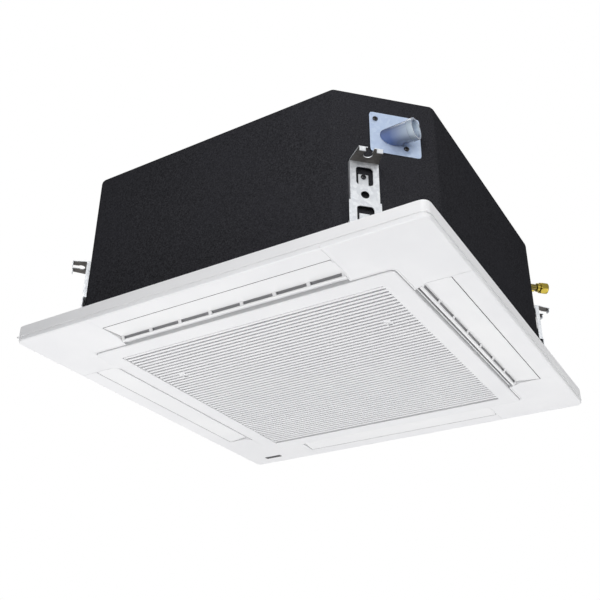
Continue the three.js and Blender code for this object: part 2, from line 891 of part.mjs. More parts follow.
function latchWindow(x, margin) {
  const halfWidth = latchKnobWidth / 2 + slipGap + margin;
  const front = latchCentre - latchKnobLength / 2 - slipGap - margin;
  const back = latchCentre + latchKnobLength / 2 + latchTravel + slipGap + margin;
  return rectangle(x - halfWidth, x + halfWidth, front, back);
}

function latchBarLevels() {
  return [latchBarBottom, latchBarBottom + latchBarThickness];
}

function intakeGrille() {
  const radius = bevelCornerRadius + grilleHalf - bevelInnerHalf;
  const ring = (inset, level) => {
    return { points: squareOutline(grilleHalf - inset, radius - inset), level };
  };
  const outer = loft([
    ring(grilleChamfer, -grilleDrop),
    ring(0, grilleChamfer - grilleDrop),
    ring(0, grilleWallTop),
  ]);
  const hollowOutline = squareOutline(grilleHalf - grilleWall, radius - grilleWall);
  const hollow = prism(hollowOutline, grilleBandThickness - grilleDrop, grilleWallTop + through);
  const field = slatFieldHalf;
  const mouth = block(-field, field, -field, field, -grilleDrop - through, grilleWallTop);
  const edge = slatFieldHalf + 4;
  const slatTop = slatBottom + slatHeight;
  const slats = prism(rectangle(-edge, edge, -edge, edge), slatBottom, slatTop, slatHoles());
  const bezels = [-latchOffset, latchOffset].map((x) => prism(latchWindow(x, latchBezel), slatBottom, slatTop));
  const windows = [-latchOffset, latchOffset].map((x) => {
    return prism(latchWindow(x, 0), slatBottom - through, slatTop + through);
  });
  const ribEnd = grilleHalf - grilleWall / 2;
  const ribHalf = grilleRibWidth / 2;
  const rib = block(-ribHalf, ribHalf, -ribEnd, ribEnd, slatTop, slatTop + grilleRibHeight);
  const [barBottom, barTop] = latchBarLevels();
  const barSlots = [-latchOffset, latchOffset].map((x) => {
    const half = latchBarWidth / 2 + slipGap;
    const outside = grilleHalf + through;
    const inside = grilleHalf - grilleWall - through;
    return block(x - half, x + half, -outside, -inside, barBottom - seatGap, barTop + slipGap);
  });
  const notches = [-hingeOffset, hingeOffset].map((x) => {
    const half = hingeNotchWidth / 2;
    const front = grilleHalf - hingeNotchDepth;
    const bottom = hingeSkin - grilleDrop;
    return block(x - half, x + half, front, grilleHalf + through, bottom, grilleWallTop + through);
  });
  const pins = [-hingeOffset, hingeOffset].map((x) => {
    const reach = hingeNotchWidth / 2 + grilleWall;
    const from = [x - reach, hingeAxisHalf, hingeAxisHeight];
    return rod(from, [x + reach, hingeAxisHalf, hingeAxisHeight], hingePinRadius, 12);
  });
  const cheeks = [-hingeOffset, hingeOffset].map((x) => {
    const half = hingeNotchWidth / 2 + grilleWall;
    const front = grilleHalf - hingeNotchDepth - grilleWall;
    return block(x - half, x + half, front, grilleHalf - grilleWall / 2, 1 - grilleDrop, grilleWallTop);
  });
  const shell = cut(outer, hollow, mouth);
  const solid = join(shell, slats, ...bezels, rib, ...cheeks);
  return join(cut(solid, ...windows, ...barSlots, ...notches), ...pins);
}

function grilleLatch(x) {
  const [barBottom, barTop] = latchBarLevels();
  const tip = bevelInnerHalf - chamberWall + latchEngagement;
  const barHalf = latchBarWidth / 2;
  const front = latchCentre - latchKnobLength / 2;
  const back = latchCentre + latchKnobLength / 2;
  const bar = block(x - barHalf, x + barHalf, -tip, back, barBottom, barTop);
  const knobHalf = latchKnobWidth / 2;
  const knob = block(x - knobHalf, x + knobHalf, front, back, slatBottom, barBottom + 1);
  const ridges = [-0.5, 0.5].map((side) => {
    const y = latchCentre + side * latchKnobLength * 0.4;
    return block(x - knobHalf + 2, x + knobHalf - 2, y - 1, y + 1, slatBottom - latchRidgeHeight, slatBottom + 1);
  });
  return join(bar, knob, ...ridges);
}

function airFilter() {
  const bottom = slatBottom + slatHeight + grilleRibHeight + seatGap;
  const top = bottom + filterThickness;
  const half = filterHalf;
  const whole = block(-half, half, -half, half, bottom, top);
  const inner = filterHalf - filterFrameWidth;
  const cell = (2 * inner + filterBarWidth) / filterCells;
  const cutters = [];
  for (let i = 0; i < filterCells; i++) {
    for (let j = 0; j < filterCells; j++) {
      const x = -inner + i * cell;
      const y = -inner + j * cell;
      const size = cell - filterBarWidth;
      cutters.push(block(x, x + size, y, y + size, bottom + filterMesh, top + through));
    }
  }
  return cut(whole, ...cutters);
}

// ---------- cabinet ----------

function drainAxisPoint(along) {
  const angle = THREE.MathUtils.degToRad(drainAngle);
  return [wideReach + along * Math.cos(angle), drainShift + along * Math.sin(angle), drainLevel];
}

// Everything that passes through the walls, as cutters in the unit's own frame.
function wallCutters() {
  const drain = rod(drainAxisPoint(-60), drainAxisPoint(40), stubInnerRadius + slipGap, 20);
  const holes = [drain.rotate([0, 0, -45])];
  plateScrews.forEach(({ shift, level }) => {
    const inside = [wideReach - wrapThickness - 4, shift, level];
    const screwHole = rod(inside, [wideReach + through, shift, level], screwShankRadius + slipGap, 8);
    holes.push(screwHole.rotate([0, 0, -45]));
  });
  const screwLevel = bracketScrewLevel();
  const inside = [wideReach - wrapThickness - 4, wideBracketShift, screwLevel];
  const outside = [wideReach + through, wideBracketShift, screwLevel];
  holes.push(rod(inside, outside, screwShankRadius + slipGap, 8).rotate([0, 0, -45]));
  pipeExits().forEach(({ shift, level, radius }) => {
    const start = [narrowReach - 60, shift, level];
    const end = [narrowReach + 10, shift, level];
    holes.push(rod(start, end, radius + 2 * slipGap, 12).rotate([0, 0, 45]));
  });
  return holes;
}

function insulationWrap() {
  const rings = [{ points: cabinetOutline(0), level: cabinetBottom }];
  const steps = 4;
  for (let i = 0; i <= steps; i++) {
    const angle = (Math.PI / 2) * (i / steps);
    const inset = wrapTopRadius * (1 - Math.cos(angle));
    rings.push({ points: cabinetOutline(inset), level: cabinetTop - wrapTopRadius * (1 - Math.sin(angle)) });
  }
  const inner = prism(cabinetOutline(wrapThickness, 2), cabinetBottom - through, cabinetTop - wrapThickness);
  return cut(loft(rings), inner, ...wallCutters());
}

function cabinetShell() {
  const inset = wrapThickness + seatGap;
  const top = cabinetTop - wrapThickness - seatGap;
  const outer = prism(cabinetOutline(inset, 2), cabinetBottom, top);
  const hollow = prism(cabinetOutline(inset + shellThickness, 2), cabinetBottom - through, top - shellThickness);
  return cut(outer, hollow, ...wallCutters());
}

const shellInset = wrapThickness + seatGap + shellThickness;
const shellCeiling = cabinetTop - wrapThickness - seatGap - shellThickness;
const linerBottom = panTop + seatGap;
const linerCeiling = shellCeiling - seatGap - linerTopThickness;

function foamLiner() {
  const top = shellCeiling - seatGap;
  const outer = prism(cabinetOutline(shellInset + seatGap, 2), linerBottom, top);
  const inset = shellInset + seatGap + linerThickness;
  const hollow = prism(cabinetOutline(inset, 2), linerBottom - through, linerCeiling);
  const motorHole = rod([0, 0, linerCeiling - through], [0, 0, top + through], bracketDiscRadius + 1, 32);
  const reach = wideReach - shellInset;
  const pocket = block(
    reach - 30,
    reach + through,
    -hoseRadius - 4,
    hoseRadius + 40,
    drainLevel - 26,
    linerCeiling,
  );
  return cut(outer, hollow, motorHole, pocket.rotate([0, 0, -45]), ...wallCutters());
}

function drainPan() {
  const body = prism(cabinetOutline(shellInset + seatGap, 2), panBottom, panTop);
  const opening = prism(squareOutline(panOpeningHalf, panOpeningRadius), panBottom - through, panTop + through);
  const rebateHalf = bellPlateHalf + slipGap;
  const rebateTop = panBottom + seatGap + bellPlateThickness + seatGap;
  const rebate = prism(squareOutline(rebateHalf, 20), panBottom - through, rebateTop);
  const coilInner = coilOuterHalf - coilThickness;
  const outerHalf = coilOuterHalf + troughMargin;
  const innerHalf = coilInner - troughMargin;
  const innerRadius = coilCornerRadius - coilThickness - troughMargin;
  const troughOutline = squareOutline(outerHalf, coilCornerRadius + troughMargin, 5);
  const trough = cut(
    prism(troughOutline, troughFloor, panTop + through),
    prism(squareOutline(innerHalf, innerRadius, 5), troughFloor - through, panTop + 2 * through),
  );
  const sumpEdge = squareOutline(panOpeningHalf + sumpWall, panOpeningRadius + sumpWall, 5);
  const sump = cut(
    block(sumpInner, sumpOuter, sumpInner, sumpOuter, troughFloor, panTop + through),
    prism(sumpEdge, troughFloor - through, panTop + 2 * through),
  );
  const slot = block(-slotHalfLength, slotHalfLength, -slotOuter, -slotInner, panBottom - through, panTop + through);
  const coilMiddle = coilOuterHalf - coilThickness / 2;
  const size = coilBlockSize / 2;
  const blocks = [-coilBlockOffset, coilBlockOffset].flatMap((x) => {
    const one = block(
      x - size,
      x + size,
      -coilMiddle - size,
      -coilMiddle + size,
      troughFloor - 1,
      coilBottom - seatGap,
    );
    return quarterTurns(one);
  });
  return join(cut(body, opening, rebate, trough, sump, ...quarterTurns(slot)), ...blocks);
}

function panelGasket() {
  const outline = cabinetOutline(gasketInset, 2);
  const bottom = ductTop + seatGap;
  const inner = squareOutline(gasketInnerHalf, gasketInnerRadius, 5);
  const body = prism(outline, bottom, gasketTop, [inner]);
  const inside = slotInner - 2;
  const outside = slotOuter + 2;
  const reach = slotHalfLength + 2;
  const slot = block(-reach, reach, -outside, -inside, bottom - through, gasketTop + through);
  return cut(body, ...quarterTurns(slot));
}

function bellMouth() {
  const bottom = panBottom + seatGap;
  const plateTop = bottom + bellPlateThickness;
  const hole = [];
  const overlap = 4;
  for (let i = 0; i < roundSides; i++) {
    const angle = (2 * Math.PI * i) / roundSides;
    hole.push([(bellMouthRadius - overlap) * Math.cos(angle), (bellMouthRadius - overlap) * Math.sin(angle)]);
  }
  const plate = prism(squareOutline(bellPlateHalf, 20), bottom, plateTop, [hole]);
  const wall = bellPlateThickness;
  const curve = [
    [bellMouthRadius, bottom],
    [bellThroatRadius + 23, bottom + 4.7],
    [bellThroatRadius + 7, bottom + 23.7],
    [bellThroatRadius, bottom + 51.7],
    [bellThroatRadius, bellTop],
  ];
  const back = [
    [bellThroatRadius + wall, bellTop],
    [bellThroatRadius + wall, bottom + 52.7],
    [bellThroatRadius + 9.5, bottom + 25.2],
    [bellThroatRadius + 24, bottom + 7.2],
    [bellMouthRadius, plateTop],
  ];
  return join(plate, turnedRing([...curve, ...back]));
}

// ---------- heat exchanger ----------

function heatExchanger() {
  const top = linerCeiling - seatGap;
  const outer = squareOutline(coilOuterHalf, coilCornerRadius, 8);
  const inner = squareOutline(coilOuterHalf - coilThickness, coilCornerRadius - coilThickness, 8);
  const loop = prism(outer, coilBottom, top, [inner]);
  const reach = coilOuterHalf + through;
  return cut(loop, block(coilEnd, reach, coilEnd, reach, coilBottom - through, top + through));
}

// The plate on the coil's end that faces +Y, at the +X side.
function tubePlate() {
  const near = coilOuterHalf - coilThickness - tubePlateMargin;
  const far = coilOuterHalf + tubePlateLip;
  const start = coilEnd + seatGap;
  return block(near, far, start, start + tubePlateThickness, coilBottom, linerCeiling - seatGap);
}

function pipeExits() {
  return [
    { shift: gasShift, level: gasLevel, radius: gasPipeRadius },
    { shift: liquidShift, level: liquidLevel, radius: liquidPipeRadius },
  ];
}

// A point on the line along which a pipe leaves corner C.
function exitPoint(shift, level, reach) {
  return [(reach - shift) / Math.SQRT2, (reach + shift) / Math.SQRT2, level];
}

function headerWithStubs(headerX, headerY, toPlate, radius, top) {
  const parts = [rod([headerX, headerY, headerBottom], [headerX, headerY, top], radius, 12)];
  stubLevels.forEach((level) => {
    parts.push(rod([headerX, headerY, level], [...toPlate, level], headerStubRadius, 8));
  });
  return join(...parts);
}

function gasPipe() {
  const x = coilOuterHalf - headerInset;
  const y = coilEnd + headerReach;
  const plateFace = coilEnd + seatGap + tubePlateThickness + seatGap;
  const header = headerWithStubs(x, y, [x, plateFace], gasHeaderRadius, gasLevel + 20);
  const run = bentRod(
    [
      [x, y, gasLevel],
      [x + 8, y + 26, gasLevel],
      [x + 28, y + 58, gasLevel],
      exitPoint(gasShift, gasLevel, narrowReach - 22),
      exitPoint(gasShift, gasLevel, narrowReach),
      exitPoint(gasShift, gasLevel, pipeTip),
    ],
    gasPipeRadius,
    14,
    12,
  );
  return join(header, run);
}

function liquidPipe() {
  const x = coilEnd + headerReach;
  const y = coilOuterHalf - headerInset;
  const plateFace = coilEnd + seatGap + tubePlateThickness + seatGap;
  const header = headerWithStubs(x, y, [plateFace, y], liquidHeaderRadius, liquidLevel + 12);
  const run = bentRod(
    [
      [x, y, liquidLevel],
      [x + 28, y + 9, liquidLevel],
      [x + 58, y + 24, liquidLevel],
      exitPoint(liquidShift, liquidLevel, narrowReach - 22),
      exitPoint(liquidShift, liquidLevel, narrowReach),
      exitPoint(liquidShift, liquidLevel, pipeTip),
    ],
    liquidPipeRadius,
    14,
    8,
  );
  return join(header, run);
}

// A hexagon nut with a round skirt towards the unit, made along +X of the corner frame.
function flareNut(shift, level, across, length, pipeRadius) {
  const hexRadius = across / 2 / Math.cos(Math.PI / 6);
  const skirt = length * 0.3;
  const on = (along) => [along, shift, level];
  const body = rod(on(nutStart + skirt), on(nutStart + length), hexRadius, 6);
  const collar = rod(on(nutStart), on(nutStart + skirt + 0.5), across * 0.42, 16);
  const bore = rod(on(nutStart - through), on(nutStart + length + through), pipeRadius + slipGap, 12);
  return cut(join(body, collar), bore);
}

function pipeCoverPlate() {
  const start = narrowReach + seatGap;
  const bottom = gasLevel - pipePlateMargin;
  const top = liquidLevel + pipePlateMargin;
  const half = pipePlateHalfLength;
  const plate = block(start, start + pipePlateThickness, -half, half, bottom, top);
  const holes = pipeExits().map(({ shift, level, radius }) => {
    const end = [start + pipePlateThickness + through, shift, level];
    return rod([start - through, shift, level], end, radius + slipGap, 12);
  });
  return cut(plate, ...holes);
}

// ---------- turbo fan and motor ----------

function turboFan() {
  const inlet = fanInletRadius;
  const base = fanInletBottom;
  const thick = shroudThickness;
  const shroud = turnedRing([
    [inlet, base],
    [inlet, base + 13],
    [inlet + 6, base + 25],
    [inlet + 20, base + 35],
    [fanRadius, base + 43],
    [fanRadius, base + 43 - thick],
    [inlet + 21, base + 35 - thick],
    [inlet + 6 + thick, base + 25 - thick + 0.6],
    [inlet + thick, base + 12.4],
    [inlet + thick, base],
  ]);
  const plateTop = hubPlateBottom + hubPlateThickness;
  const wall = hubPlateThickness;
  const hub = turnedRing([
    [shaftRadius + slipGap, domeBottom],
    [domeBottomRadius, domeBottom],
    [domeTopRadius, hubPlateBottom],
    [fanRadius, hubPlateBottom],
    [fanRadius, plateTop],
    [domeTopRadius - wall, plateTop],
    [domeBottomRadius - wall, domeBottom + wall],
    [hubBossRadius, domeBottom + wall],
    [hubBossRadius, domeBottom + hubBossHeight],
    [shaftRadius + slipGap, domeBottom + hubBossHeight],
  ]);
  const envelope = turnedRing([
    [bladeInnerRadius - 6, hubPlateBottom + 1],
    [fanRadius, hubPlateBottom + 1],
    [fanRadius, base + 43 - thick / 2],
    [inlet + 20.5, base + 35 - thick / 2],
    [inlet + 7, base + 24.5 - thick / 2],
    [inlet + thick / 2, base + 12.5],
    [inlet - 10, base + 16],
    [bladeInnerRadius - 6, base + 60],
  ]);
  const blades = [];
  for (let i = 0; i < bladeCount; i++) {
    blades.push(common(fanBlade((2 * Math.PI * i) / bladeCount), envelope));
  }
  return join(hub, shroud, ...blades);
}

// One backward-swept blade seen from above, as an upright body.
function fanBlade(start) {
  const sweep = THREE.MathUtils.degToRad(bladeSweep);
  const front = [];
  const back = [];
  for (let i = 0; i <= bladeSteps; i++) {
    const share = i / bladeSteps;
    const radius = THREE.MathUtils.lerp(bladeInnerRadius, fanRadius + through, share);
    const angle = start - sweep * share * (1 - 0.25 * share);
    const half = (bladeThickness / 2 / radius) * (1.15 - 0.4 * share) * 1.3;
    front.push([radius * Math.cos(angle + half), radius * Math.sin(angle + half)]);
    back.unshift([radius * Math.cos(angle - half), radius * Math.sin(angle - half)]);
  }
  return prism([...front, ...back], fanInletBottom, hubPlateBottom + hubPlateThickness);
}

function motorShaft() {
  return rod([0, 0, shaftBottom], [0, 0, motorBoreTop - seatGap], shaftRadius, 20);
}

function fanNut() {
  const top = domeBottom - seatGap;
  const body = rod([0, 0, top - nutHeight], [0, 0, top], nutRadius, 6);
  const bore = rod([0, 0, top - nutHeight - through], [0, 0, top + through], shaftRadius + slipGap, 20);
  return cut(body, bore);
}

function mountCorners() {
  return [45, 135, 225, 315].map((angle) => {
    const turn = THREE.MathUtils.degToRad(angle);
    return [mountCircleRadius * Math.cos(turn), mountCircleRadius * Math.sin(turn)];
  });
}

function fanMotor() {
  const bore = shaftRadius + slipGap;
  const flangeTop = motorFlangeBottom + fanMotorFlangeThickness;
  const body = turned([
    [0, motorBoreTop],
    [bore, motorBoreTop],
    [bore, motorBottom],
    [motorRadius - 7, motorBottom],
    [motorRadius, motorBottom + 7],
    [motorRadius, motorFlangeBottom],
    [fanMotorFlangeRadius, motorFlangeBottom],
    [fanMotorFlangeRadius, flangeTop],
    [0, flangeTop],
  ]);
  const holes = mountCorners().map(([x, y]) => {
    return rod([x, y, motorFlangeBottom - through], [x, y, flangeTop + through], studRadius + slipGap, 8);
  });
  return cut(body, ...holes);
}

function motorBracket() {
  const top = shellCeiling - seatGap;
  const bottom = top - bracketDiscThickness;
  const disc = rod([0, 0, bottom], [0, 0, top], bracketDiscRadius, 32);
  const headTop = motorFlangeBottom - seatGap;
  const studs = mountCorners().flatMap(([x, y]) => [
    rod([x, y, headTop - studHeadHeight], [x, y, bottom + 1], studRadius, 8),
    rod([x, y, headTop - studHeadHeight], [x, y, headTop], studHeadRadius, 6),
  ]);
  return join(disc, ...studs);
}

function rubberMount(x, y) {
  const bottom = motorFlangeBottom + fanMotorFlangeThickness + seatGap;
  const top = shellCeiling - seatGap - bracketDiscThickness - seatGap;
  const body = rod([x, y, bottom], [x, y, top], rubberRadius, 12);
  return cut(body, rod([x, y, bottom - through], [x, y, top + through], studRadius + slipGap, 8));
}

// ---------- hanging brackets ----------

function bracketScrewLevel() {
  return earLevel - upperWindowDrop - windowHeight + tongueHeight - 6;
}

// One bracket in a corner frame, with its slot round a rod that hangs outside the cut-off corner.
function hangingBracket(reach, rodReach, tip, shift) {
  const face = reach + bracketStandOff;
  const back = face - bracketSheet;
  const half = bracketHalfWidth;
  const foot = bracketFootHalfWidth;
  const notch = earLevel - notchDrop;
  const upper = block(back, face, shift - half, shift + half, notch, earLevel);
  const lower = block(back, face, shift - foot, shift + foot, bracketBottom, notch);
  const flanges = [-1, 1].map((side) => {
    const edge = shift + side * half;
    const inner = edge - side * bracketSheet;
    const [low, high] = side > 0 ? [inner, edge] : [edge, inner];
    return block(reach + seatGap, face, low, high, notch, earLevel);
  });
  const feet = [-1, 1].map((side) => {
    const edge = shift + side * foot;
    const inner = edge - side * bracketSheet;
    const [low, high] = side > 0 ? [inner, edge] : [edge, inner];
    return block(reach + seatGap, face, low, high, bracketBottom, bracketBottom + 20);
  });
  const earBottom = earLevel - bracketSheet;
  const ear = prism(
    [
      [back, shift - half],
      [face + 4, shift - half],
      [tip, shift - earTipHalfWidth],
      [tip, shift + earTipHalfWidth],
      [face + 4, shift + half],
      [back, shift + half],
    ],
    earBottom,
    earLevel,
  );
  const lips = [-1, 1].map((side) => {
    const edge = shift + side * (earTipHalfWidth - 1);
    const inner = edge - side * earLipWidth;
    const [low, high] = side > 0 ? [inner, edge] : [edge, inner];
    return block(tip - bracketSheet, tip, low, high, earLevel - earLipDrop, earLevel);
  });
  const above = earLevel + through;
  const below = earBottom - through;
  const eyeCentre = Math.max(rodReach - earEyeOffset, face + earEyeClearance + earEyeRadius);
  const eye = rod([eyeCentre, shift, below], [eyeCentre, shift, above], earEyeRadius, 16);
  const slotHalf = earSlotWidth / 2;
  const slot = block(eyeCentre, tip + through, shift - slotHalf, shift + slotHalf, below, above);
  const windows = [upperWindowDrop, lowerWindowDrop].map((drop) => {
    const top = earLevel - drop;
    const opening = rounded(rectangle(-windowHalfWidth, windowHalfWidth, 0, windowHeight), windowCorner, 2);
    return standing(opening, back - through, face + through, shift, top - windowHeight);
  });
  const hole = rod(
    [back - through, shift, earLevel - holeDrop],
    [face + through, shift, earLevel - holeDrop],
    holeRadius,
    16,
  );
  const tongues = [upperWindowDrop, lowerWindowDrop].flatMap((drop) => {
    const foot = earLevel - drop - windowHeight;
    const start = reach + seatGap;
    const tab = tongueHalfWidth;
    return [
      block(start, face, shift - tab, shift + tab, foot - bracketSheet, foot),
      block(start, start + bracketSheet, shift - tab, shift + tab, foot - bracketSheet, foot + tongueHeight),
    ];
  });
  const screwHole = rod(
    [reach, shift, bracketScrewLevel()],
    [reach + 2 * bracketSheet, shift, bracketScrewLevel()],
    screwShankRadius + slipGap,
    8,
  );
  const sheet = cut(join(upper, lower, ...flanges, ...feet, ear, ...lips), eye, slot, ...windows, hole);
  return cut(join(sheet, ...tongues), screwHole);
}

// A pan-head screw that holds a sheet of the given thickness on the wrap at corner B.
function wallScrew(shift, level, sheet) {
  const under = wideReach + seatGap + sheet + seatGap;
  const end = wideReach - shellInset + 0.2;
  const shank = rod([end, shift, level], [under + 0.5, shift, level], screwShankRadius, 8);
  const head = rod([under, shift, level], [under + screwHeadHeight, shift, level], screwHeadRadius, 12);
  return join(shank, head);
}

// ---------- drain connection ----------

function drainSocketPlate() {
  const start = wideReach + seatGap;
  const end = start + drainPlateThickness;
  const bottom = drainPlateLevel - drainPlateHeight / 2;
  const half = drainPlateWidth / 2;
  const outline = rounded(rectangle(-half, half, 0, drainPlateHeight), drainPlateCorner, 3);
  const plate = standing(outline, start, end, drainPlateShift, bottom);
  const pipe = rod(drainAxisPoint(-20), drainAxisPoint(30), stubInnerRadius + slipGap, 20);
  const holes = plateScrews.map(({ shift, level }) => {
    return rod([start - through, shift, level], [end + through, shift, level], screwShankRadius + slipGap, 8);
  });
  return cut(plate, pipe, ...holes);
}

function drainStub() {
  const plateFace = wideReach + seatGap + drainPlateThickness + seatGap;
  const wide = rod(drainAxisPoint(-30), drainAxisPoint(stubLength), stubRadius, 24);
  const collarStart = stubLength - stubCollarLength;
  const collar = rod(drainAxisPoint(collarStart), drainAxisPoint(stubLength), stubRadius + stubCollarStep, 24);
  const far = plateFace + 200;
  const outside = block(plateFace, far, -200, 200, drainLevel - 60, drainLevel + 60);
  const inner = rod(drainAxisPoint(-stubInnerLength), drainAxisPoint(25), stubInnerRadius, 20);
  const boreStart = stubWall - stubInnerLength;
  const innerBore = rod(drainAxisPoint(boreStart), drainAxisPoint(stubLength), stubInnerRadius - stubWall, 16);
  const wideBore = rod(drainAxisPoint(20), drainAxisPoint(stubLength + through), stubRadius - stubWall, 24);
  const [nippleReach, nippleShift] = nippleCentre();
  const nipple = (from, to, radius) => {
    return rod([nippleReach, nippleShift, from], [nippleReach, nippleShift, to], radius);
  };
  const outer = join(common(join(wide, collar), outside), inner, nipple(drainLevel, nippleTop, nippleRadius));
  return cut(outer, innerBore, wideBore, nipple(drainLevel, nippleTop + through, nippleBore));
}

// Where the hose drops on to the stub, in the frame of corner B.
function nippleCentre() {
  const [reach, shift] = drainAxisPoint(nippleRadius + stubWall - stubInnerLength + 0.5);
  return [reach, shift];
}

function drainPump() {
  const bottom = troughFloor + seatGap;
  const body = turned([
    [0, bottom],
    [pumpHousingRadius - 6, bottom],
    [pumpHousingRadius, bottom + 8],
    [pumpHousingRadius, pumpHousingTop],
    [pumpHousingRadius - 8, pumpHousingTop + 10],
    [pumpHousingRadius - 8, pumpCanBottom - 6],
    [pumpCanRadius, pumpCanBottom],
    [pumpCanRadius, pumpTop - 6],
    [pumpCanRadius - 6, pumpTop],
    [0, pumpTop],
  ], 16);
  const reach = pumpOutletX - pumpX;
  const outlet = rod([0, 0, pumpOutletLevel], [reach, 0, pumpOutletLevel], pumpNipple, 12);
  return join(body, outlet).translate([pumpX, pumpY, 0]);
}

function drainHose() {
  const [reach, shift] = nippleCentre();
  const endX = (reach + shift) / Math.SQRT2;
  const endY = (shift - reach) / Math.SQRT2;
  const start = pumpOutletX + seatGap;
  return bentRod(
    [
      [start, pumpY, pumpOutletLevel],
      [start + 12, pumpY, pumpOutletLevel],
      [hoseRunX - 5, pumpY, pumpOutletLevel + 16],
      [hoseRunX, pumpY, pumpOutletLevel + 45],
      [hoseRunX, pumpY, hoseRunLevel - 70],
      [hoseRunX, pumpY - 2, hoseRunLevel - 30],
      [hoseRunX, pumpY - 20, hoseRunLevel - 6],
      [hoseRunX, pumpY - 50, hoseRunLevel],
      [hoseRunX, 0, hoseRunLevel],
      [hoseRunX, 80 - pumpY, hoseRunLevel],
      [hoseRunX - 6, 35 - pumpY, hoseRunLevel],
      [endX + 12, endY + 26, hoseRunLevel - 3],
      [endX + 2, endY + 6, hoseRunLevel - 15],
      [endX, endY, nippleTop + 10],
      [endX, endY, nippleTop + seatGap],
    ],
    hoseRadius,
    36,
    8,
  );
}

function floatSwitch() {
  const bottom = troughFloor + seatGap;
  return turned([
    [0, bottom],
    [floatRadius - 2, bottom],
    [floatRadius - 2, bottom + 3],
    [floatStemRadius, bottom + 3],
    [floatStemRadius, floatStemTop - 6],
    [floatRadius - 4, floatStemTop - 6],
    [floatRadius - 4, floatStemTop],
    [0, floatStemTop],
  ], 12).translate([floatX, floatY, 0]);
}

function floatBody() {
  return turnedRing([
    [floatStemRadius + slipGap, floatBottom],
    [floatRadius, floatBottom],
    [floatRadius, floatBottom + floatHeight],
    [floatStemRadius + slipGap, floatBottom + floatHeight],
  ], 12).translate([floatX, floatY, 0]);
}

// ---------- electrical box ----------

const boxTop = panBottom + seatGap - seatGap;
const boxBottom = boxTop - boxHeight;

function electricalBox() {
  const half = boxHalfLength;
  const outer = block(-half, half, boxOuter, boxInner, boxBottom, boxTop);
  const hollow = block(
    -half + boxWall,
    half - boxWall,
    boxOuter + boxWall,
    boxInner - boxWall,
    boxBottom - through,
    boxTop - boxWall,
  );
  const middle = (boxOuter + boxInner) / 2;
  const level = (boxBottom + boxTop) / 2;
  const inlet = rod(
    [half - 2 * boxWall, middle, level],
    [half + through, middle, level],
    glandRadius - 2 + slipGap,
    12,
  );
  return cut(outer, hollow, inlet);
}

function electricalBoxLid() {
  const top = boxBottom - seatGap;
  return block(-boxHalfLength, boxHalfLength, boxOuter, boxInner, top - lidThickness, top);
}

// The board on its four posts, which stand on the ceiling of the box.
function controlBoard() {
  const ceiling = boxTop - boxWall - seatGap;
  const top = ceiling - boardStandOff;
  const left = -boxHalfLength + boxWall + boardMargin;
  const right = left + 2 * boardHalfLength;
  const front = boxOuter + boxWall + boardMargin;
  const back = boxInner - boxWall - boardMargin;
  const board = block(left, right, front, back, top - boardThickness, top);
  const inset = 6;
  const posts = [left + inset, right - inset].flatMap((x) => {
    return [front + inset, back - inset].map((y) => rod([x, y, top - 0.5], [x, y, ceiling], 3, 8));
  });
  const transformer = block(left + 14, left + 50, front + 14, front + 44, top - boardThickness - 11, top - 1);
  const relay = block(right - 40, right - 20, front + 12, front + 26, top - boardThickness - 9, top - 1);
  return join(board, ...posts, transformer, relay);
}

function terminalBlock() {
  const ceiling = boxTop - boxWall - seatGap;
  const right = boxHalfLength - boxWall - 22;
  const left = right - terminalLength;
  const middle = (boxOuter + boxInner) / 2;
  const front = middle - terminalWidth / 2;
  const bottom = ceiling - terminalHeight;
  const body = block(left, right, front, front + terminalWidth, bottom, ceiling);
  const pitch = terminalLength / terminalPoles;
  const wells = [];
  for (let i = 0; i < terminalPoles; i++) {
    const x = left + (i + 0.5) * pitch;
    wells.push(block(x - 4.5, x + 4.5, front + 4, front + terminalWidth - 4, bottom - through, bottom + 7));
  }
  return cut(body, ...wells);
}

function cableGland() {
  const middle = (boxOuter + boxInner) / 2;
  const level = (boxBottom + boxTop) / 2;
  const at = (x) => [x, middle, level];
  const wall = boxHalfLength;
  const flange = rod(at(wall + seatGap), at(wall + seatGap + 4), glandRadius + 2, 6);
  const dome = rod(at(wall + seatGap + 3), at(wall + glandLength), glandRadius - 1, 12);
  const neck = rod(at(wall - boxWall - 4), at(wall + seatGap + 1), glandRadius - 2, 12);
  const bore = rod(at(wall - boxWall - 6), at(wall + glandLength + through), glandBore, 10);
  return cut(join(flange, dome, neck), bore);
}

// ---------- assembly ----------

function addCabinet() {
  addPiece(unit, "insulation_wrap", insulationWrap(), finish.blackFoam);
  addPiece(unit, "cabinet_shell", cabinetShell(), finish.steel);
  addPiece(unit, "foam_liner", foamLiner(), finish.whiteFoam);
  addPiece(unit, "drain_pan", drainPan(), finish.whiteFoam);
  addPiece(unit, "panel_gasket", panelGasket(), finish.rubber);
  addPiece(unit, "bell_mouth", bellMouth(), finish.greyPlastic);
}

function addHeatExchanger() {
  addPiece(unit, "heat_exchanger", heatExchanger(), finish.aluminium);
  addPiece(unit, "tube_plate_gas", tubePlate(), finish.steel);
  const mirrored = tubePlate().mirror([1, -1, 0]);
  addPiece(unit, "tube_plate_liquid", mirrored, finish.steel);
  addPiece(unit, "gas_pipe", gasPipe(), finish.copper);
  addPiece(unit, "liquid_pipe", liquidPipe(), finish.copper);
  const cornerC = cornerFrame(45);
  const gasNut = flareNut(gasShift, gasLevel, gasNutAcross, gasNutLength, gasPipeRadius);
  addPiece(cornerC, "gas_flare_nut", gasNut, finish.brass);
  const liquidNut = flareNut(liquidShift, liquidLevel, liquidNutAcross, liquidNutLength, liquidPipeRadius);
  addPiece(cornerC, "liquid_flare_nut", liquidNut, finish.brass);
  addPiece(cornerC, "pipe_cover_plate", pipeCoverPlate(), finish.steel);
}

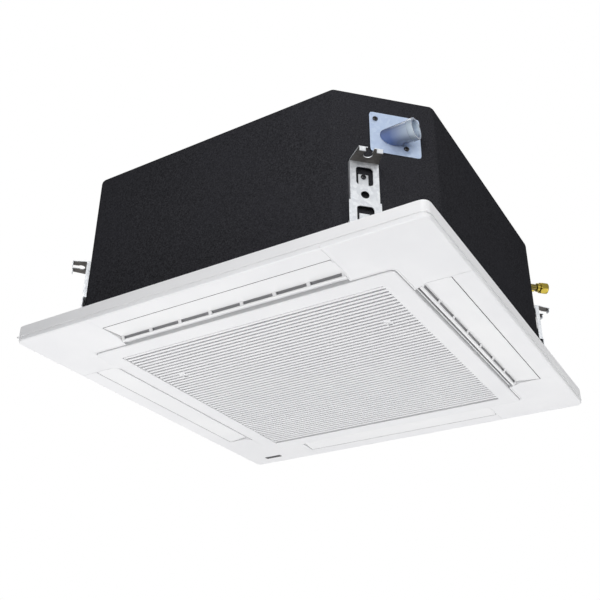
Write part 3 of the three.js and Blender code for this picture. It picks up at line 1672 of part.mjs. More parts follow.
function addBrackets() {
  const corners = [
    { name: "a", angle: -135, wide: false },
    { name: "b", angle: -45, wide: true },
    { name: "c", angle: 45, wide: false },
    { name: "d", angle: 135, wide: true },
  ];
  const narrowBracket = hangingBracket(narrowReach, narrowRod, earNarrowTip, narrowBracketShift);
  const wideBracket = hangingBracket(wideReach, wideRod, earWideTip, wideBracketShift);
  corners.forEach(({ name, angle, wide }) => {
    const bracket = wide ? wideBracket : narrowBracket;
    addPiece(cornerFrame(angle), `hanging_bracket_${name}`, bracket, finish.steel);
  });
  const screw = wallScrew(wideBracketShift, bracketScrewLevel(), bracketSheet);
  addPiece(cornerFrame(-45), "bracket_screw_b", screw, finish.steel);
}

function addDrain() {
  const cornerB = cornerFrame(-45);
  addPiece(cornerB, "drain_socket_plate", drainSocketPlate(), finish.steel);
  addPiece(cornerB, "drain_stub", drainStub(), finish.clearPlastic);
  plateScrews.forEach(({ shift, level }, i) => {
    const screw = wallScrew(shift, level, drainPlateThickness);
    addPiece(cornerB, `drain_plate_screw_${i + 1}`, screw, finish.steel);
  });
  addPiece(unit, "drain_pump", drainPump(), finish.darkPlastic);
  addPiece(unit, "drain_hose", drainHose(), finish.rubber);
  addPiece(unit, "float_switch", floatSwitch(), finish.whitePlastic);
  addPiece(unit, "float", floatBody(), finish.whiteFoam);
}

function addFan() {
  addPiece(unit, "turbo_fan", turboFan(), finish.fanPlastic);
  addPiece(unit, "motor_shaft", motorShaft(), finish.steel);
  addPiece(unit, "fan_nut", fanNut(), finish.steel);
  addPiece(unit, "fan_motor", fanMotor(), finish.steel);
  addPiece(unit, "motor_bracket", motorBracket(), finish.steel);
  mountCorners().forEach(([x, y], i) => {
    addPiece(unit, `motor_rubber_mount_${i + 1}`, rubberMount(x, y), finish.rubber);
  });
}

function addElectrics() {
  addPiece(unit, "electrical_box", electricalBox(), finish.steel);
  addPiece(unit, "electrical_box_lid", electricalBoxLid(), finish.steel);
  addPiece(unit, "control_board", controlBoard(), finish.greenBoard);
  addPiece(unit, "terminal_block", terminalBlock(), finish.greyPlastic);
  addPiece(unit, "cable_gland", cableGland(), finish.darkPlastic);
}

function addPanel() {
  addPiece(unit, "panel_frame", panelFrame(), finish.whitePlastic);
  const corners = [
    { name: "b", angle: 0 },
    { name: "c", angle: 90 },
    { name: "d", angle: 180 },
    { name: "a", angle: 270 },
  ];
  const plain = cornerCover();
  corners.forEach(({ name, angle }) => {
    const placed = plain.rotate([0, 0, angle]);
    const seated = name === "d" ? cut(placed, receiverPocket(windowThickness + seatGap, seatGap)) : placed;
    addPiece(unit, `corner_cover_${name}`, seated, finish.whitePlastic);
  });
  addPiece(unit, "receiver_window", receiverPocket(windowThickness, 0), finish.darkPlastic);
  const sides = [
    { name: "front", angle: 0 },
    { name: "right", angle: 90 },
    { name: "back", angle: 180 },
    { name: "left", angle: 270 },
  ];
  const flapBody = flap();
  const motorBody = flapMotor();
  sides.forEach(({ name, angle }) => {
    addPiece(sideFrame(angle), `flap_${name}`, flapBody, finish.flapPlastic);
    addPiece(sideFrame(angle), `flap_motor_${name}`, motorBody, finish.whitePlastic);
  });
}

function addGrille() {
  addPiece(unit, "intake_grille", intakeGrille(), finish.whitePlastic);
  addPiece(unit, "air_filter", airFilter(), finish.filterCloth);
  addPiece(unit, "grille_latch_left", grilleLatch(-latchOffset), finish.whitePlastic);
  addPiece(unit, "grille_latch_right", grilleLatch(latchOffset), finish.whitePlastic);
}

addCabinet();
addHeatExchanger();
addBrackets();
addDrain();
addFan();
addElectrics();
addPanel();
addGrille();

export default group;
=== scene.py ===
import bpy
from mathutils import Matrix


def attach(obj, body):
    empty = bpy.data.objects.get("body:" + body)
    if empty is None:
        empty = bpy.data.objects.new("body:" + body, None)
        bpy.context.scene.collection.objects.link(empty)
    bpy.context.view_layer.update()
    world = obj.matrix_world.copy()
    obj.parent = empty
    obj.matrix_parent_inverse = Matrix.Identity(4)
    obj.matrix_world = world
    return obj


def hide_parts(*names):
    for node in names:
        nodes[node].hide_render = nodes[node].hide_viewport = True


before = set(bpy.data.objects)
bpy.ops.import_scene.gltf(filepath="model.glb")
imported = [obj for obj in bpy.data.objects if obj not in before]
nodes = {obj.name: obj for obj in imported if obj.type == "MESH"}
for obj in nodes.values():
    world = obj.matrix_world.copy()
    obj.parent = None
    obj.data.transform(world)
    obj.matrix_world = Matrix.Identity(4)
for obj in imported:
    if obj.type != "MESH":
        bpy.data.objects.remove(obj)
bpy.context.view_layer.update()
import math

import bpy
import bmesh
from mathutils import Matrix, Vector

MM = 0.001


# ---------- shader helpers ----------


def new_material(name):
    """A material with its node tree emptied, ready to be filled."""
    material = bpy.data.materials.new(name)
    material.use_nodes = True
    material.node_tree.nodes.clear()
    return material


def node(tree, kind, **values):
    """A shader node with some of its inputs set by name or number."""
    made = tree.nodes.new(kind)
    for key, value in values.items():
        made.inputs[key.replace("_", " ")].default_value = value
    return made


def feed(tree, socket, value):
    """Links a socket to another one, or sets its value."""
    if hasattr(value, "is_linked"):
        tree.links.new(value, socket)
    else:
        socket.default_value = value


def mix_colour(tree, share, first, second):
    """A colour mixed from two colours or links, by a number or a link."""
    made = tree.nodes.new("ShaderNodeMix")
    made.data_type = "RGBA"
    factor, colour_a, colour_b, result = 0, 6, 7, 2  # the node's sockets for colours
    for socket, value in ((factor, share), (colour_a, first), (colour_b, second)):
        feed(tree, made.inputs[socket], value)
    return made.outputs[result]


def mix_shader(tree, share, first, second):
    """A shader mixed from two shaders, by a number or a link."""
    made = tree.nodes.new("ShaderNodeMixShader")
    for socket, value in enumerate((share, first, second)):
        feed(tree, made.inputs[socket], value)
    return made.outputs[0]


def calculate(tree, operation, first, second):
    """The result of a math node on two numbers or links."""
    made = tree.nodes.new("ShaderNodeMath")
    made.operation = operation
    for socket, value in enumerate((first, second)):
        feed(tree, made.inputs[socket], value)
    return made.outputs[0]


def background_rays(tree):
    """1 for the rays that show the background itself, 0 for those that only light the unit."""
    path = tree.nodes.new("ShaderNodeLightPath")
    seen = path.outputs["Is Camera Ray"]
    for ray in ("Is Glossy Ray", "Is Transmission Ray"):
        seen = calculate(tree, "MAXIMUM", seen, path.outputs[ray])
    return seen


def ranged(tree, value, low, high, start=0.0, end=1.0):
    """A value between start and end as the link goes from low to high."""
    made = tree.nodes.new("ShaderNodeMapRange")
    made.inputs["From Min"].default_value = low
    made.inputs["From Max"].default_value = high
    made.inputs["To Min"].default_value = start
    made.inputs["To Max"].default_value = end
    tree.links.new(value, made.inputs["Value"])
    return made.outputs["Result"]


def position(tree):
    """Position on the piece, in the part's own frame."""
    return tree.nodes.new("ShaderNodeTexCoord").outputs["Object"]


def noise(tree, place, scale, detail=4.0, roughness=0.55):
    """A noise value over the surface."""
    made = node(tree, "ShaderNodeTexNoise", Scale=scale, Detail=detail, Roughness=roughness)
    tree.links.new(place, made.inputs["Vector"])
    return made.outputs["Fac"]


def finish_material(material, colour, roughness, bump=None, **values):
    """A principled shader from a colour link and a roughness link.

    bump is a height link, a distance and a strength.
    """
    tree = material.node_tree
    shader = node(tree, "ShaderNodeBsdfPrincipled", **values)
    tree.links.new(colour, shader.inputs["Base Color"])
    tree.links.new(roughness, shader.inputs["Roughness"])
    if bump:
        height, distance, strength = bump
        raised = node(tree, "ShaderNodeBump", Distance=distance, Strength=strength)
        tree.links.new(height, raised.inputs["Height"])
        tree.links.new(raised.outputs["Normal"], shader.inputs["Normal"])
    output = tree.nodes.new("ShaderNodeOutputMaterial")
    tree.links.new(shader.outputs["BSDF"], output.inputs["Surface"])
    return material


DRIFT_SCALE = 6.0
GRAIN_SCALE = 900.0
SCRATCH_SCALE = 1400.0
SCRATCH_DEPTH = 0.00002


def moulded(name, colour, shade, roughness, grain=0.00003):
    """Moulded plastic or rubber: a fine grain, and a slow drift of colour and gloss."""
    material = new_material(name)
    tree = material.node_tree
    place = position(tree)
    drift = noise(tree, place, DRIFT_SCALE, 3.0)
    fine = noise(tree, place, GRAIN_SCALE, 3.0)
    mixed = mix_colour(tree, ranged(tree, drift, 0.35, 0.65), colour, shade)
    gloss = ranged(tree, fine, 0.3, 0.7, roughness - 0.05, roughness + 0.06)
    return finish_material(material, mixed, gloss, (fine, grain, 0.35))


def metal(name, colour, shade, roughness, scale, metallic):
    """Sheet or turned metal, with a mottled crystal pattern and fine scratches."""
    material = new_material(name)
    tree = material.node_tree
    place = position(tree)
    cells = node(tree, "ShaderNodeTexVoronoi", Scale=scale, Randomness=1.0)
    tree.links.new(place, cells.inputs["Vector"])
    tone = tree.nodes.new("ShaderNodeSeparateColor")
    tree.links.new(cells.outputs["Color"], tone.inputs["Color"])
    fine = noise(tree, place, SCRATCH_SCALE, 2.0)
    mixed = mix_colour(tree, tone.outputs["Red"], colour, shade)
    gloss = ranged(tree, tone.outputs["Green"], 0.0, 1.0, roughness - 0.06, roughness + 0.08)
    bump = (fine, SCRATCH_DEPTH, 0.2)
    return finish_material(material, mixed, gloss, bump, Metallic=metallic)


# ---------- materials ----------

WHITE = moulded("white_abs", (0.86, 0.86, 0.865, 1), (0.82, 0.82, 0.83, 1), 0.42)
WHITE_FLAP = moulded("flap_abs", (0.87, 0.87, 0.87, 1), (0.84, 0.84, 0.845, 1), 0.36)
WHITE_GRILLE = moulded("grille_abs", (0.84, 0.84, 0.845, 1), (0.81, 0.81, 0.82, 1), 0.45)
GREY = moulded("grey_plastic", (0.33, 0.34, 0.35, 1), (0.29, 0.30, 0.31, 1), 0.5)
DARK = moulded("dark_plastic", (0.018, 0.018, 0.022, 1), (0.012, 0.012, 0.016, 1), 0.22)
FAN = moulded("fan_plastic", (0.055, 0.06, 0.07, 1), (0.04, 0.045, 0.052, 1), 0.45)
RUBBER = moulded("rubber", (0.012, 0.012, 0.013, 1), (0.018, 0.018, 0.019, 1), 0.8, grain=0.0001)
BOARD = moulded("circuit_board", (0.02, 0.12, 0.05, 1), (0.015, 0.09, 0.04, 1), 0.4)
STEEL = metal(
    "galvanised_steel", (0.74, 0.76, 0.78, 1), (0.60, 0.62, 0.65, 1), 0.4, 160.0, metallic=0.7
)
# Painted shade: a dark dull zinc for the flat faces of the brackets' ears, standing in for the
# shade on them.
EAR_SHADE_STEEL = metal(
    "ear_painted_shade", (0.125, 0.115, 0.105, 1), (0.085, 0.078, 0.072, 1), 0.5, 160.0, metallic=0.35
)
# Painted shade: near-black screw metal standing in for the shade and dark reflections on the small
# screw heads.
SCREW_SHADE_STEEL = metal(
    "screw_painted_shade", (0.02, 0.02, 0.024, 1), (0.012, 0.012, 0.014, 1), 0.22, 400.0, metallic=0.5
)
PLATE = metal(
    "blue_white_zinc", (0.50, 0.59, 0.74, 1), (0.43, 0.52, 0.69, 1), 0.42, 120.0, metallic=0.7
)
ALUMINIUM = metal(
    "aluminium", (0.72, 0.73, 0.74, 1), (0.62, 0.63, 0.65, 1), 0.34, 90.0, metallic=0.9
)
COPPER = metal(
    "copper", (0.72, 0.34, 0.18, 1), (0.55, 0.24, 0.13, 1), 0.3, 60.0, metallic=1.0
)
BRASS = metal(
    "brass", (0.36, 0.28, 0.05, 1), (0.22, 0.17, 0.03, 1), 0.24, 70.0, metallic=1.0
)
OLD_BRASS = metal(
    "old_brass", (0.17, 0.13, 0.035, 1), (0.10, 0.08, 0.02, 1), 0.3, 90.0, metallic=0.9
)
# Painted shade: near-black strips that stand in for the shadow in the gaps round the flaps.
GAP_SHADE = moulded("flap_gap_shade", (0.035, 0.035, 0.038, 1), (0.05, 0.05, 0.052, 1), 0.7)
# Painted shade: a mid-grey strip seen through the flap slots in place of the half-lit duct walls
# behind them.
SLOT_SHADE = moulded("flap_slot_shade", (0.36, 0.36, 0.37, 1), (0.31, 0.31, 0.32, 1), 0.6)
WINDOW = moulded("window_black", (0.006, 0.006, 0.008, 1), (0.010, 0.010, 0.012, 1), 0.4)


def insulation_foam():
    """Black closed-cell foam sheet: pores and shallow dents, with no specular gloss."""
    material = new_material("black_foam")
    tree = material.node_tree
    place = position(tree)
    pores = noise(tree, place, 420.0, 4.0, 0.6)
    dents = noise(tree, place, 45.0, 4.0)
    slow = noise(tree, place, 5.0, 2.0)
    speckle = mix_colour(
        tree, ranged(tree, pores, 0.3, 0.7), (0.012, 0.012, 0.0135, 1), (0.050, 0.050, 0.056, 1)
    )
    mixed = mix_colour(
        tree, ranged(tree, slow, 0.4, 0.65, 0.0, 0.35), speckle, (0.034, 0.034, 0.04, 1)
    )
    gloss = ranged(tree, dents, 0.3, 0.7, 0.62, 0.78)
    bump = (calculate(tree, "ADD", pores, dents), 0.0007, 0.5)
    return finish_material(material, mixed, gloss, bump, Specular_IOR_Level=0.0)


def bead_foam():
    """White expanded foam, with the outlines of its beads."""
    material = new_material("bead_foam")
    tree = material.node_tree
    place = position(tree)
    beads = node(tree, "ShaderNodeTexVoronoi", Scale=260.0, Randomness=1.0)
    tree.links.new(place, beads.inputs["Vector"])
    mixed = mix_colour(
        tree,
        ranged(tree, beads.outputs["Distance"], 0.1, 0.6),
        (0.80, 0.80, 0.78, 1),
        (0.66, 0.66, 0.64, 1),
    )
    gloss = ranged(tree, beads.outputs["Distance"], 0.0, 0.6, 0.75, 0.9)
    return finish_material(material, mixed, gloss, (beads.outputs["Distance"], 0.0004, 0.4))


FIN_PITCH_HALF = 0.0009  # metres
THREAD_PITCH_HALF = 0.0011


def coil_fins():
    """Thin fins stacked upright along the coil, with a bluish coating."""
    material = new_material("coil_fins")
    tree = material.node_tree
    place = position(tree)
    split = tree.nodes.new("ShaderNodeSeparateXYZ")
    tree.links.new(place, split.inputs["Vector"])
    along = calculate(tree, "ADD", split.outputs["X"], split.outputs["Y"])
    wave = calculate(tree, "PINGPONG", along, FIN_PITCH_HALF)
    fin = ranged(tree, wave, 0.0, FIN_PITCH_HALF)
    mixed = mix_colour(tree, fin, (0.30, 0.38, 0.46, 1), (0.62, 0.70, 0.78, 1))
    gloss = ranged(tree, fin, 0.0, 1.0, 0.5, 0.3)
    return finish_material(material, mixed, gloss, (fin, 0.0006, 0.6), Metallic=0.7)


STUB_AXIS = (0.999391, -0.034899, 0.0)  # the drain stub's own direction
STUB_START = 0.374  # metres along that direction, where the stub leaves the plate
STUB_END = 0.425


def clear_plastic():
    """Blue-tinted clear plastic, deeper in colour near the plate, with slight flow marks."""
    material = new_material("clear_plastic")
    tree = material.node_tree
    place = position(tree)
    flow = noise(tree, place, 90.0, 3.0)
    outward = tree.nodes.new("ShaderNodeVectorMath")
    outward.operation = "DOT_PRODUCT"
    outward.inputs[1].default_value = STUB_AXIS
    tree.links.new(place, outward.inputs[0])
    edge = node(tree, "ShaderNodeLayerWeight", Blend=0.6).outputs["Facing"]
    deep = mix_colour(tree, edge, (0.17, 0.26, 0.56, 1), (0.012, 0.02, 0.07, 1))
    pale = mix_colour(tree, edge, (0.82, 0.93, 1.0, 1), (0.07, 0.11, 0.22, 1))
    along = ranged(tree, outward.outputs["Value"], STUB_START, STUB_END)
    mixed = mix_colour(tree, along, deep, pale)
    gloss = ranged(tree, flow, 0.3, 0.7, 0.10, 0.20)
    return finish_material(
        material,
        mixed,
        gloss,
        (flow, 0.0004, 0.4),
        IOR=1.46,
        Transmission_Weight=0.3,
        Specular_IOR_Level=0.5,
    )


def filter_cloth():
    """Fine woven net of the air filter, seen as crossed threads."""
    material = new_material("filter_net")
    tree = material.node_tree
    place = position(tree)
    split = tree.nodes.new("ShaderNodeSeparateXYZ")
    tree.links.new(place, split.inputs["Vector"])
    threads = []
    for axis in ("X", "Y"):
        wave = calculate(tree, "PINGPONG", split.outputs[axis], THREAD_PITCH_HALF)
        threads.append(ranged(tree, wave, 0.0003, 0.0006))
    holes = calculate(tree, "MULTIPLY", *threads)
    mixed = mix_colour(tree, holes, (0.80, 0.81, 0.82, 1), (0.60, 0.61, 0.62, 1))
    gloss = ranged(tree, holes, 0.0, 1.0, 0.6, 0.85)
    return finish_material(material, mixed, gloss, (holes, -0.0003, 0.6))


FOAM = insulation_foam()
BEADS = bead_foam()
FINS = coil_fins()
CLEAR = clear_plastic()
NET = filter_cloth()

LOOKS = {
    "insulation_wrap": FOAM,
    "cabinet_shell": STEEL,
    "foam_liner": BEADS,
    "drain_pan": BEADS,
    "panel_gasket": RUBBER,
    "bell_mouth": GREY,
    "heat_exchanger": FINS,
    "gas_pipe": COPPER,
    "liquid_pipe": COPPER,
    "gas_flare_nut": BRASS,
    "liquid_flare_nut": BRASS,
    "drain_socket_plate": PLATE,
    "drain_stub": CLEAR,
    "drain_pump": DARK,
    "drain_hose": RUBBER,
    "float_switch": WHITE,
    "float": BEADS,
    "turbo_fan": FAN,
    "fan_motor": ALUMINIUM,
    "control_board": BOARD,
    "terminal_block": GREY,
    "cable_gland": DARK,
    "receiver_window": WINDOW,
    "intake_grille": WHITE_GRILLE,
    "air_filter": NET,
}


def look_of(name):
    """The material of a CAD node, from the table or from what its name says."""
    if name in LOOKS:
        return LOOKS[name]
    if name.startswith(("flap_motor", "panel_frame", "corner_cover", "grille_latch")):
        return WHITE
    if name.startswith("flap_"):
        return WHITE_FLAP
    if name.startswith("motor_rubber"):
        return RUBBER
    return STEEL


# ---------- soft edges on the CAD pieces ----------

EDGE_WIDTHS = {  # mm
    **{"corner_cover_" + corner: 0.5 for corner in "abcd"},
    "panel_frame": 0.5,
    "intake_grille": 0.5,
    "insulation_wrap": 1.2,
    "drain_pan": 1.5,
    "foam_liner": 1.5,
    "drain_stub": 0.6,
    "drain_socket_plate": 0.4,
    "receiver_window": 0.4,
}
DEFAULT_EDGE = 0.35
SMOOTH_ANGLE = math.radians(32)
WELD_DISTANCE = 0.00002


def soften(name, obj):
    """Joins split edges, rounds the sharp ones a little and shades the rest smooth."""
    weld = obj.modifiers.new("weld", "WELD")
    weld.merge_threshold = WELD_DISTANCE
    bevel = obj.modifiers.new("edges", "BEVEL")
    bevel.width = EDGE_WIDTHS.get(name, DEFAULT_EDGE) * MM
    bevel.segments = 2
    bevel.limit_method = "ANGLE"
    bevel.angle_limit = SMOOTH_ANGLE
    bevel.harden_normals = False
    normals = obj.modifiers.new("normals", "WEIGHTED_NORMAL")
    normals.keep_sharp = True
    normals.weight = 60


for name, obj in nodes.items():
    obj.data.materials.clear()
    obj.data.materials.append(look_of(name))
    obj.data.polygons.foreach_set("use_smooth", [True] * len(obj.data.polygons))
    soften(name, obj)


# ---------- second materials on single faces: painted shade on the ears, old brass on the pipes ---

LIFT = 9.6  # mm, from the grille's lower face to the panel's flat face
EAR_LEVEL = 226 + LIFT
EAR_DEPTH = 3  # mm, under which a level face isn't the ear's
PIPE_MARGIN = 4
CORNER_REACH = 537.4  # mm, from the middle to a narrow cut-off corner
PIPE_WAY = Vector((math.sqrt(0.5), math.sqrt(0.5), 0.0))
PLATE_WAY = Vector((math.sqrt(0.5), -math.sqrt(0.5), 0.0))


def repaint(obj, material, chosen):
    """Gives a second material to the faces that a test picks."""
    obj.data.materials.append(material)
    index = len(obj.data.materials) - 1
    for face in obj.data.polygons:
        if chosen(obj.data, face):
            face.material_index = index


def is_ear(mesh, face):
    """The flat faces of a bracket's ear."""
    return abs(face.normal.z) > 0.7 and face.center.z > (EAR_LEVEL - EAR_DEPTH) * MM


def is_outside(mesh, face):
    """The part of a pipe that stands outside the cabinet."""
    reach = max(mesh.vertices[i].co.dot(PIPE_WAY) for i in face.vertices)
    return reach > (CORNER_REACH + PIPE_MARGIN) * MM


# The ears' flat faces get the dark zinc that is painted shade.
for corner in "abcd":
    repaint(nodes["hanging_bracket_" + corner], EAR_SHADE_STEEL, is_ear)
for pipe in ("gas_pipe", "liquid_pipe"):
    repaint(nodes[pipe], OLD_BRASS, is_outside)


# ---------- pieces with more detail than the solids ----------


def new_piece(name, mesh, material, smooth=True):
    """A mesh object in the scene with one material."""
    mesh.materials.append(material)
    mesh.polygons.foreach_set("use_smooth", [smooth] * len(mesh.polygons))
    obj = bpy.data.objects.new(name, mesh)
    bpy.context.scene.collection.objects.link(obj)
    return obj


def closed_mesh(name, points, faces):
    """A mesh from points and faces, with its normals turned outwards."""
    mesh = bpy.data.meshes.new(name)
    mesh.from_pydata(points, [], faces)
    made = bmesh.new()
    made.from_mesh(mesh)
    bmesh.ops.recalc_face_normals(made, faces=made.faces)
    made.to_mesh(mesh)
    made.free()
    return mesh


def grid_mesh(name, rings, closed_ends=True):
    """A mesh through rings of points.

    It is capped at both ends, or its last ring is joined to its first.
    """
    count = len(rings[0])
    points = [point for ring in rings for point in ring]
    faces = []
    turns = len(rings) - 1 if closed_ends else len(rings)
    for i in range(turns):
        low, high = i * count, ((i + 1) % len(rings)) * count
        for j in range(count):
            k = (j + 1) % count
            faces.append((low + j, low + k, high + k, high + j))
    if closed_ends:
        faces.append(tuple(reversed(range(count))))
        faces.append(tuple(range((len(rings) - 1) * count, len(rings) * count)))
    return closed_mesh(name, points, faces)


def turned_rings(profile, sides, radius_at=None):
    """Rings round the Z axis from (height, radius) pairs, with the radius limited by the angle."""
    rings = []
    for height, radius in profile:
        ring = []
        for i in range(sides):
            angle = 2 * math.pi * i / sides
            reach = min(radius, radius_at(angle)) if radius_at else radius
            ring.append((reach * math.cos(angle), reach * math.sin(angle), height))
        rings.append(ring)
    return rings


def carve(obj, cutter):
    """Takes the cutter's space out of the object for good."""
    boolean = obj.modifiers.new("carve", "BOOLEAN")
    boolean.operation = "DIFFERENCE"
    boolean.solver = "EXACT"
    boolean.object = cutter
    graph = bpy.context.evaluated_depsgraph_get()
    carved = bpy.data.meshes.new_from_object(obj.evaluated_get(graph))
    obj.modifiers.clear()
    obj.data = carved
    bpy.data.objects.remove(cutter)


def stand_on(obj, place, way):
    """Puts the object's Z axis along a direction, with its origin at a place."""
    turn = Vector(way).to_track_quat("Z", "Y").to_matrix().to_4x4()
    turn.translation = place
    obj.data.transform(turn)


SCREW_HEAD_RADIUS = 5.5  # mm, as are the sizes below
SCREW_HEAD_HEIGHT = 3.0
SCREW_SHANK_RADIUS = 2.4
SCREW_SHANK_LENGTH = 4.6
SCREW_POINT = 0.6  # length of the shank's tapered end
SCREW_SIDES = 32
DOME_START = 0.35  # share of the head's height that is upright
DOME_ANGLES = (0.35, 0.7, 1.0, 1.25, 1.45)
TOP_TOLERANCE = 0.05
CROSS_HALF_LENGTH = 3.0
CROSS_HALF_WIDTH = 0.55
NUT_SIDES = 48


def cross_screw(name):
    """A pan-head screw with a cross recess in place of a plain one, on the face of corner B."""
    ends = [vertex.co for vertex in nodes[name].data.vertices]
    top = max(point.dot(PLATE_WAY) for point in ends)
    rim = [point for point in ends if point.dot(PLATE_WAY) > top - TOP_TOLERANCE * MM]
    place = sum(rim, Vector()) / len(rim) - PLATE_WAY * (SCREW_HEAD_HEIGHT * MM)
    head, rise = SCREW_HEAD_RADIUS * MM, SCREW_HEAD_HEIGHT * MM
    shank, foot = SCREW_SHANK_RADIUS * MM, -SCREW_SHANK_LENGTH * MM
    profile = [
        (foot, shank * 0.7),
        (foot + SCREW_POINT * MM, shank),
        (0.0, shank),
        (0.0, head),
        (rise * DOME_START, head),
    ]
    profile += [
        (rise * (DOME_START + (1 - DOME_START) * math.sin(angle)), head * math.cos(angle))
        for angle in DOME_ANGLES
    ]
    mesh = grid_mesh(name, turned_rings(profile, SCREW_SIDES))
    # The screw's near-black metal is painted shade.
    obj = new_piece(name + "_detail", mesh, SCREW_SHADE_STEEL)
    for turn in (0.0, math.pi / 2):
        wide, narrow, deep = CROSS_HALF_LENGTH * MM, CROSS_HALF_WIDTH * MM, rise * 0.45
        cross = []
        for height, grow in ((deep, 0.6), (rise * 1.2, 1.15)):
            bar = [(-wide, -narrow), (wide, -narrow), (wide, narrow), (-wide, narrow)]
            cross.append(
                [
                    (
                        grow * (x * math.cos(turn) - y * math.sin(turn)),
                        grow * (x * math.sin(turn) + y * math.cos(turn)),
                        height,
                    )
                    for x, y in bar
                ]
            )
        carve(obj, new_piece("cross_cutter", grid_mesh("cross_cutter", cross), SCREW_SHADE_STEEL))
    stand_on(obj, place, PLATE_WAY)
    soften("screw", obj)
    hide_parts(name)
    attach(obj, "unit")


def flare_nut(name, across, length, bore):
    """A flare nut with a necked collar and a chamfered hexagon, from three sizes in mm."""
    ends = [vertex.co for vertex in nodes[name].data.vertices]
    low = min(point.dot(PIPE_WAY) for point in ends)
    side = Vector((-PIPE_WAY.y, PIPE_WAY.x, 0.0))
    shift = (min(p.dot(side) for p in ends) + max(p.dot(side) for p in ends)) / 2
    level = (min(p.z for p in ends) + max(p.z for p in ends)) / 2
    flat, corner = across / 2, across / 2 / math.cos(math.pi / 6)
    neck, start = across * 0.42, length * 0.3

    def hexagon(angle):
        inner = (angle + math.pi / 6) % (math.pi / 3) - math.pi / 6
        return flat * MM / math.cos(inner)

    profile = [
        (0.0, bore),
        (0.0, neck * 0.9),
        (length * 0.03, neck),
        (start * 0.8, neck),
        (start, neck * 0.9),
        (start, flat * 0.98),
        (start + length * 0.07, corner),
        (length * 0.9, corner),
        (length, flat * 0.96),
        (length, bore + 1.2),
        (length * 0.97, bore),
    ]
    scaled = [(height * MM, radius * MM) for height, radius in profile]
    rings = turned_rings(scaled, NUT_SIDES, hexagon)
    obj = new_piece(name + "_detail", grid_mesh(name, rings, closed_ends=False), BRASS)
    stand_on(obj, PIPE_WAY * low + side * shift + Vector((0, 0, level)), PIPE_WAY)
    soften("nut", obj)
    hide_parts(name)
    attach(obj, "unit")


FLAP_OUTER = 430.7  # mm, as are the sizes below
FLAP_HALF = 266.8
FLAP_CREASE = 376.8
FLAP_RISE = 5.6
# Sizes of the painted-shade strip round each flap.
GAP_SHADE_OUT = 0.9
GAP_SHADE_SIDE = 0.5
GAP_SHADE_BOTTOM = 0.12
GAP_SHADE_TOP = 2.3
GAP_SHADE_OVERLAP = 0.05


def flap_gap_shade(side, turn):
    """A thin near-black strip round the outer edge and the two ends of a flap: painted shade
    standing in for the shadow in the gap round it.
    """

    def level(reach):
        return LIFT + FLAP_RISE * (FLAP_OUTER - reach) / (FLAP_OUTER - FLAP_CREASE)

    half, over = FLAP_HALF, GAP_SHADE_OVERLAP
    outline = [
        (-half + over, FLAP_CREASE),
        (-half + over, FLAP_OUTER - over),
        (half - over, FLAP_OUTER - over),
        (half - over, FLAP_CREASE),
        (half + GAP_SHADE_SIDE, FLAP_CREASE),
        (half + GAP_SHADE_SIDE, FLAP_OUTER + GAP_SHADE_OUT),
        (-half - GAP_SHADE_SIDE, FLAP_OUTER + GAP_SHADE_OUT),
        (-half - GAP_SHADE_SIDE, FLAP_CREASE),
    ]
    points = [
        (x * MM, -reach * MM, (level(reach) + rise) * MM)
        for rise in (GAP_SHADE_BOTTOM, GAP_SHADE_TOP)
        for x, reach in outline
    ]
    bands = [(0, 1, 6, 7), (1, 2, 5, 6), (2, 3, 4, 5)]
    count = len(outline)
    faces = bands + [tuple(i + count for i in reversed(band)) for band in bands]
    faces += [(i, (i + 1) % count, (i + 1) % count + count, i + count) for i in range(count)]
    mesh = closed_mesh("flap_gap_shade_" + side, points, faces)
    obj = new_piece("flap_gap_shade_" + side, mesh, GAP_SHADE, smooth=False)
    obj.data.transform(Matrix.Rotation(math.radians(turn), 4, "Z"))
    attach(obj, side + "_flap")


# Sizes of the painted-shade strip behind each flap's slots.
SLOT_SHADE_FOOT = (368.2, -0.6)  # reach and height of its two edges
SLOT_SHADE_HEAD = (372.6, 6.4)
SLOT_SHADE_THICKNESS = 1.0
SLOT_SHADE_END = 262.0


def flap_slot_shade(side, turn):
    """A thin mid-grey strip along the back of a flap's slots: painted shade standing in for the
    half-lit duct walls seen through them.
    """
    way = Vector((SLOT_SHADE_HEAD[0] - SLOT_SHADE_FOOT[0], SLOT_SHADE_HEAD[1] - SLOT_SHADE_FOOT[1])).normalized()
    back = Vector((-way.y, way.x)) * SLOT_SHADE_THICKNESS
    section = [
        SLOT_SHADE_FOOT,
        SLOT_SHADE_HEAD,
        (SLOT_SHADE_HEAD[0] + back.x, SLOT_SHADE_HEAD[1] + back.y),
        (SLOT_SHADE_FOOT[0] + back.x, SLOT_SHADE_FOOT[1] + back.y),
    ]
    rings = [
        [(x * MM, -reach * MM, (LIFT + height) * MM) for reach, height in section]
        for x in (-SLOT_SHADE_END, SLOT_SHADE_END)
    ]
    mesh = grid_mesh("flap_slot_shade", rings)
    obj = new_piece("flap_slot_shade_" + side, mesh, SLOT_SHADE, smooth=False)
    obj.data.transform(Matrix.Rotation(math.radians(turn), 4, "Z"))
    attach(obj, side + "_flap")


for screw in ("bracket_screw_b", "drain_plate_screw_1", "drain_plate_screw_2"):
    cross_screw(screw)
flare_nut("gas_flare_nut", 27, 30, 8.35)
flare_nut("liquid_flare_nut", 18, 22, 5.2)
# Each flap gets a painted-shade strip round its edge and a grey painted-shade strip behind its
# slots.
for side, turn in (("front", 0), ("right", 90), ("back", 180), ("left", 270)):
    flap_gap_shade(side, turn)
    flap_slot_shade(side, turn)


# ---------- camera, fitted to the photograph ----------

CAMERA_PLACE = (0.90530976, -1.60146297, -0.80558005)
CAMERA_RIGHT = (0.85971845, 0.51073245, 0.0060466)
CAMERA_DOWN = (-0.24188703, 0.41753915, -0.87587198)
CAMERA_LENS = 52.5113  # mm, on a sensor of the width below
SENSOR_WIDTH = 36.0


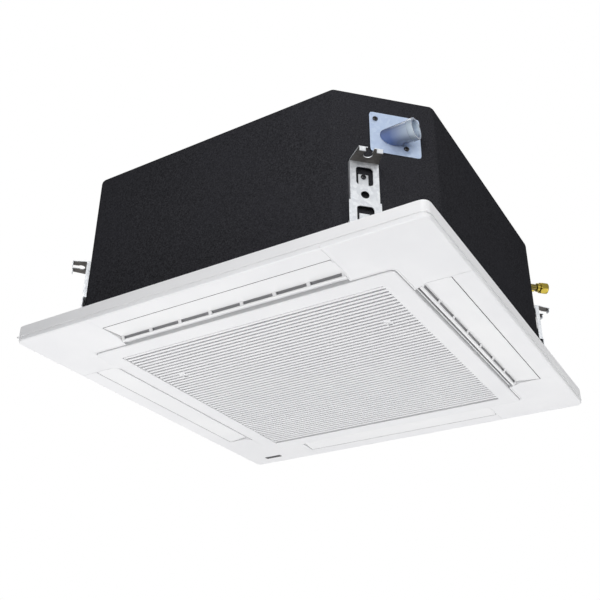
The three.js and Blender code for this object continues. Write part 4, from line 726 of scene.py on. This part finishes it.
def add_camera():
    """The camera at the photograph's place."""
    data = bpy.data.cameras.new("photo_camera")
    data.lens = CAMERA_LENS
    data.sensor_width = SENSOR_WIDTH
    data.sensor_fit = "HORIZONTAL"
    data.clip_end = 50.0
    camera = bpy.data.objects.new("photo_camera", data)
    bpy.context.scene.collection.objects.link(camera)
    right = Vector(CAMERA_RIGHT).normalized()
    down = Vector(CAMERA_DOWN)
    down = (down - right * down.dot(right)).normalized()
    forward = right.cross(down)
    matrix = Matrix((right, -down, -forward)).transposed().to_4x4()
    matrix.translation = Vector(CAMERA_PLACE)
    camera.matrix_world = matrix
    bpy.context.scene.camera = camera


add_camera()


# ---------- light ----------

AMBIENT = 0.25
FLOOR_LEVEL = -2.4
FLOOR_GLOW = 0.86
FLOOR_HALF = 45.0
LAMPS = [  # name, place, target, size and power
    ("front", (0.8, -1.65, 0.4), (0.3, -0.4, 0.2), 0.8, 13.0),
    ("under", (-0.6, -0.6, -1.9), (0.0, 0.0, 0.0), 2.0, 30.0),
    ("under_right", (1.2, 0.6, -1.7), (0.1, 0.0, 0.0), 1.6, 14.5),
    ("right", (2.2, -0.2, 0.2), (0.4, 0.0, 0.2), 1.2, 7.0),
    ("behind", (-0.9, 2.0, 1.2), (0.0, 0.2, 0.2), 1.4, 14.0),
    ("top", (-0.2, 0.2, 2.4), (0.0, 0.0, 0.4), 1.4, 16.0),
]


def area_light(name, place, target, size, power):
    """A soft square lamp aimed at a point."""
    data = bpy.data.lights.new(name, "AREA")
    data.shape = "SQUARE"
    data.size = size
    data.energy = power
    lamp = bpy.data.objects.new(name, data)
    bpy.context.scene.collection.objects.link(lamp)
    lamp.location = place
    aim = Vector(target) - Vector(place)
    lamp.rotation_euler = aim.to_track_quat("-Z", "Y").to_euler()
    lamp.visible_camera = False


def studio():
    """White world for the camera and reflections, a softer one for the light itself."""
    world = bpy.data.worlds.new("studio")
    world.use_nodes = True
    tree = world.node_tree
    tree.nodes.clear()
    ambient = node(
        tree, "ShaderNodeBackground", Color=(0.96, 0.97, 1.0, 1), Strength=AMBIENT
    )
    white = node(tree, "ShaderNodeBackground", Color=(1, 1, 1, 1), Strength=1.0)
    chosen = mix_shader(tree, background_rays(tree), ambient.outputs[0], white.outputs[0])
    output = tree.nodes.new("ShaderNodeOutputWorld")
    tree.links.new(chosen, output.inputs["Surface"])
    bpy.context.scene.world = world
    for lamp in LAMPS:
        area_light(*lamp)


def floor_stage():
    """A floor far below the unit.

    It is nearly white as a background, with some of its own shade, and pale grey to the light.
    """
    material = new_material("pale_floor")
    tree = material.node_tree
    place = position(tree)
    drift = noise(tree, place, 1.5, 2.0)
    mixed = mix_colour(tree, drift, (0.80, 0.80, 0.81, 1), (0.84, 0.84, 0.85, 1))
    gloss = ranged(tree, drift, 0.3, 0.7, 0.7, 0.8)
    finish_material(material, mixed, gloss)
    shaded = tree.nodes["Principled BSDF"].outputs["BSDF"]
    white = node(tree, "ShaderNodeEmission", Strength=1.0)
    glow = mix_shader(tree, FLOOR_GLOW, shaded, white.outputs[0])
    chosen = mix_shader(tree, background_rays(tree), shaded, glow)
    tree.links.new(chosen, tree.nodes["Material Output"].inputs["Surface"])
    mesh = bpy.data.meshes.new("floor")
    half, level = FLOOR_HALF, FLOOR_LEVEL
    mesh.from_pydata(
        [(-half, -half, level), (half, -half, level), (half, half, level), (-half, half, level)],
        [],
        [(0, 1, 2, 3)],
    )
    mesh.materials.append(material)
    obj = bpy.data.objects.new("floor", mesh)
    bpy.context.scene.collection.objects.link(obj)


studio()
floor_stage()

bpy.context.scene.view_settings.view_transform = "Standard"
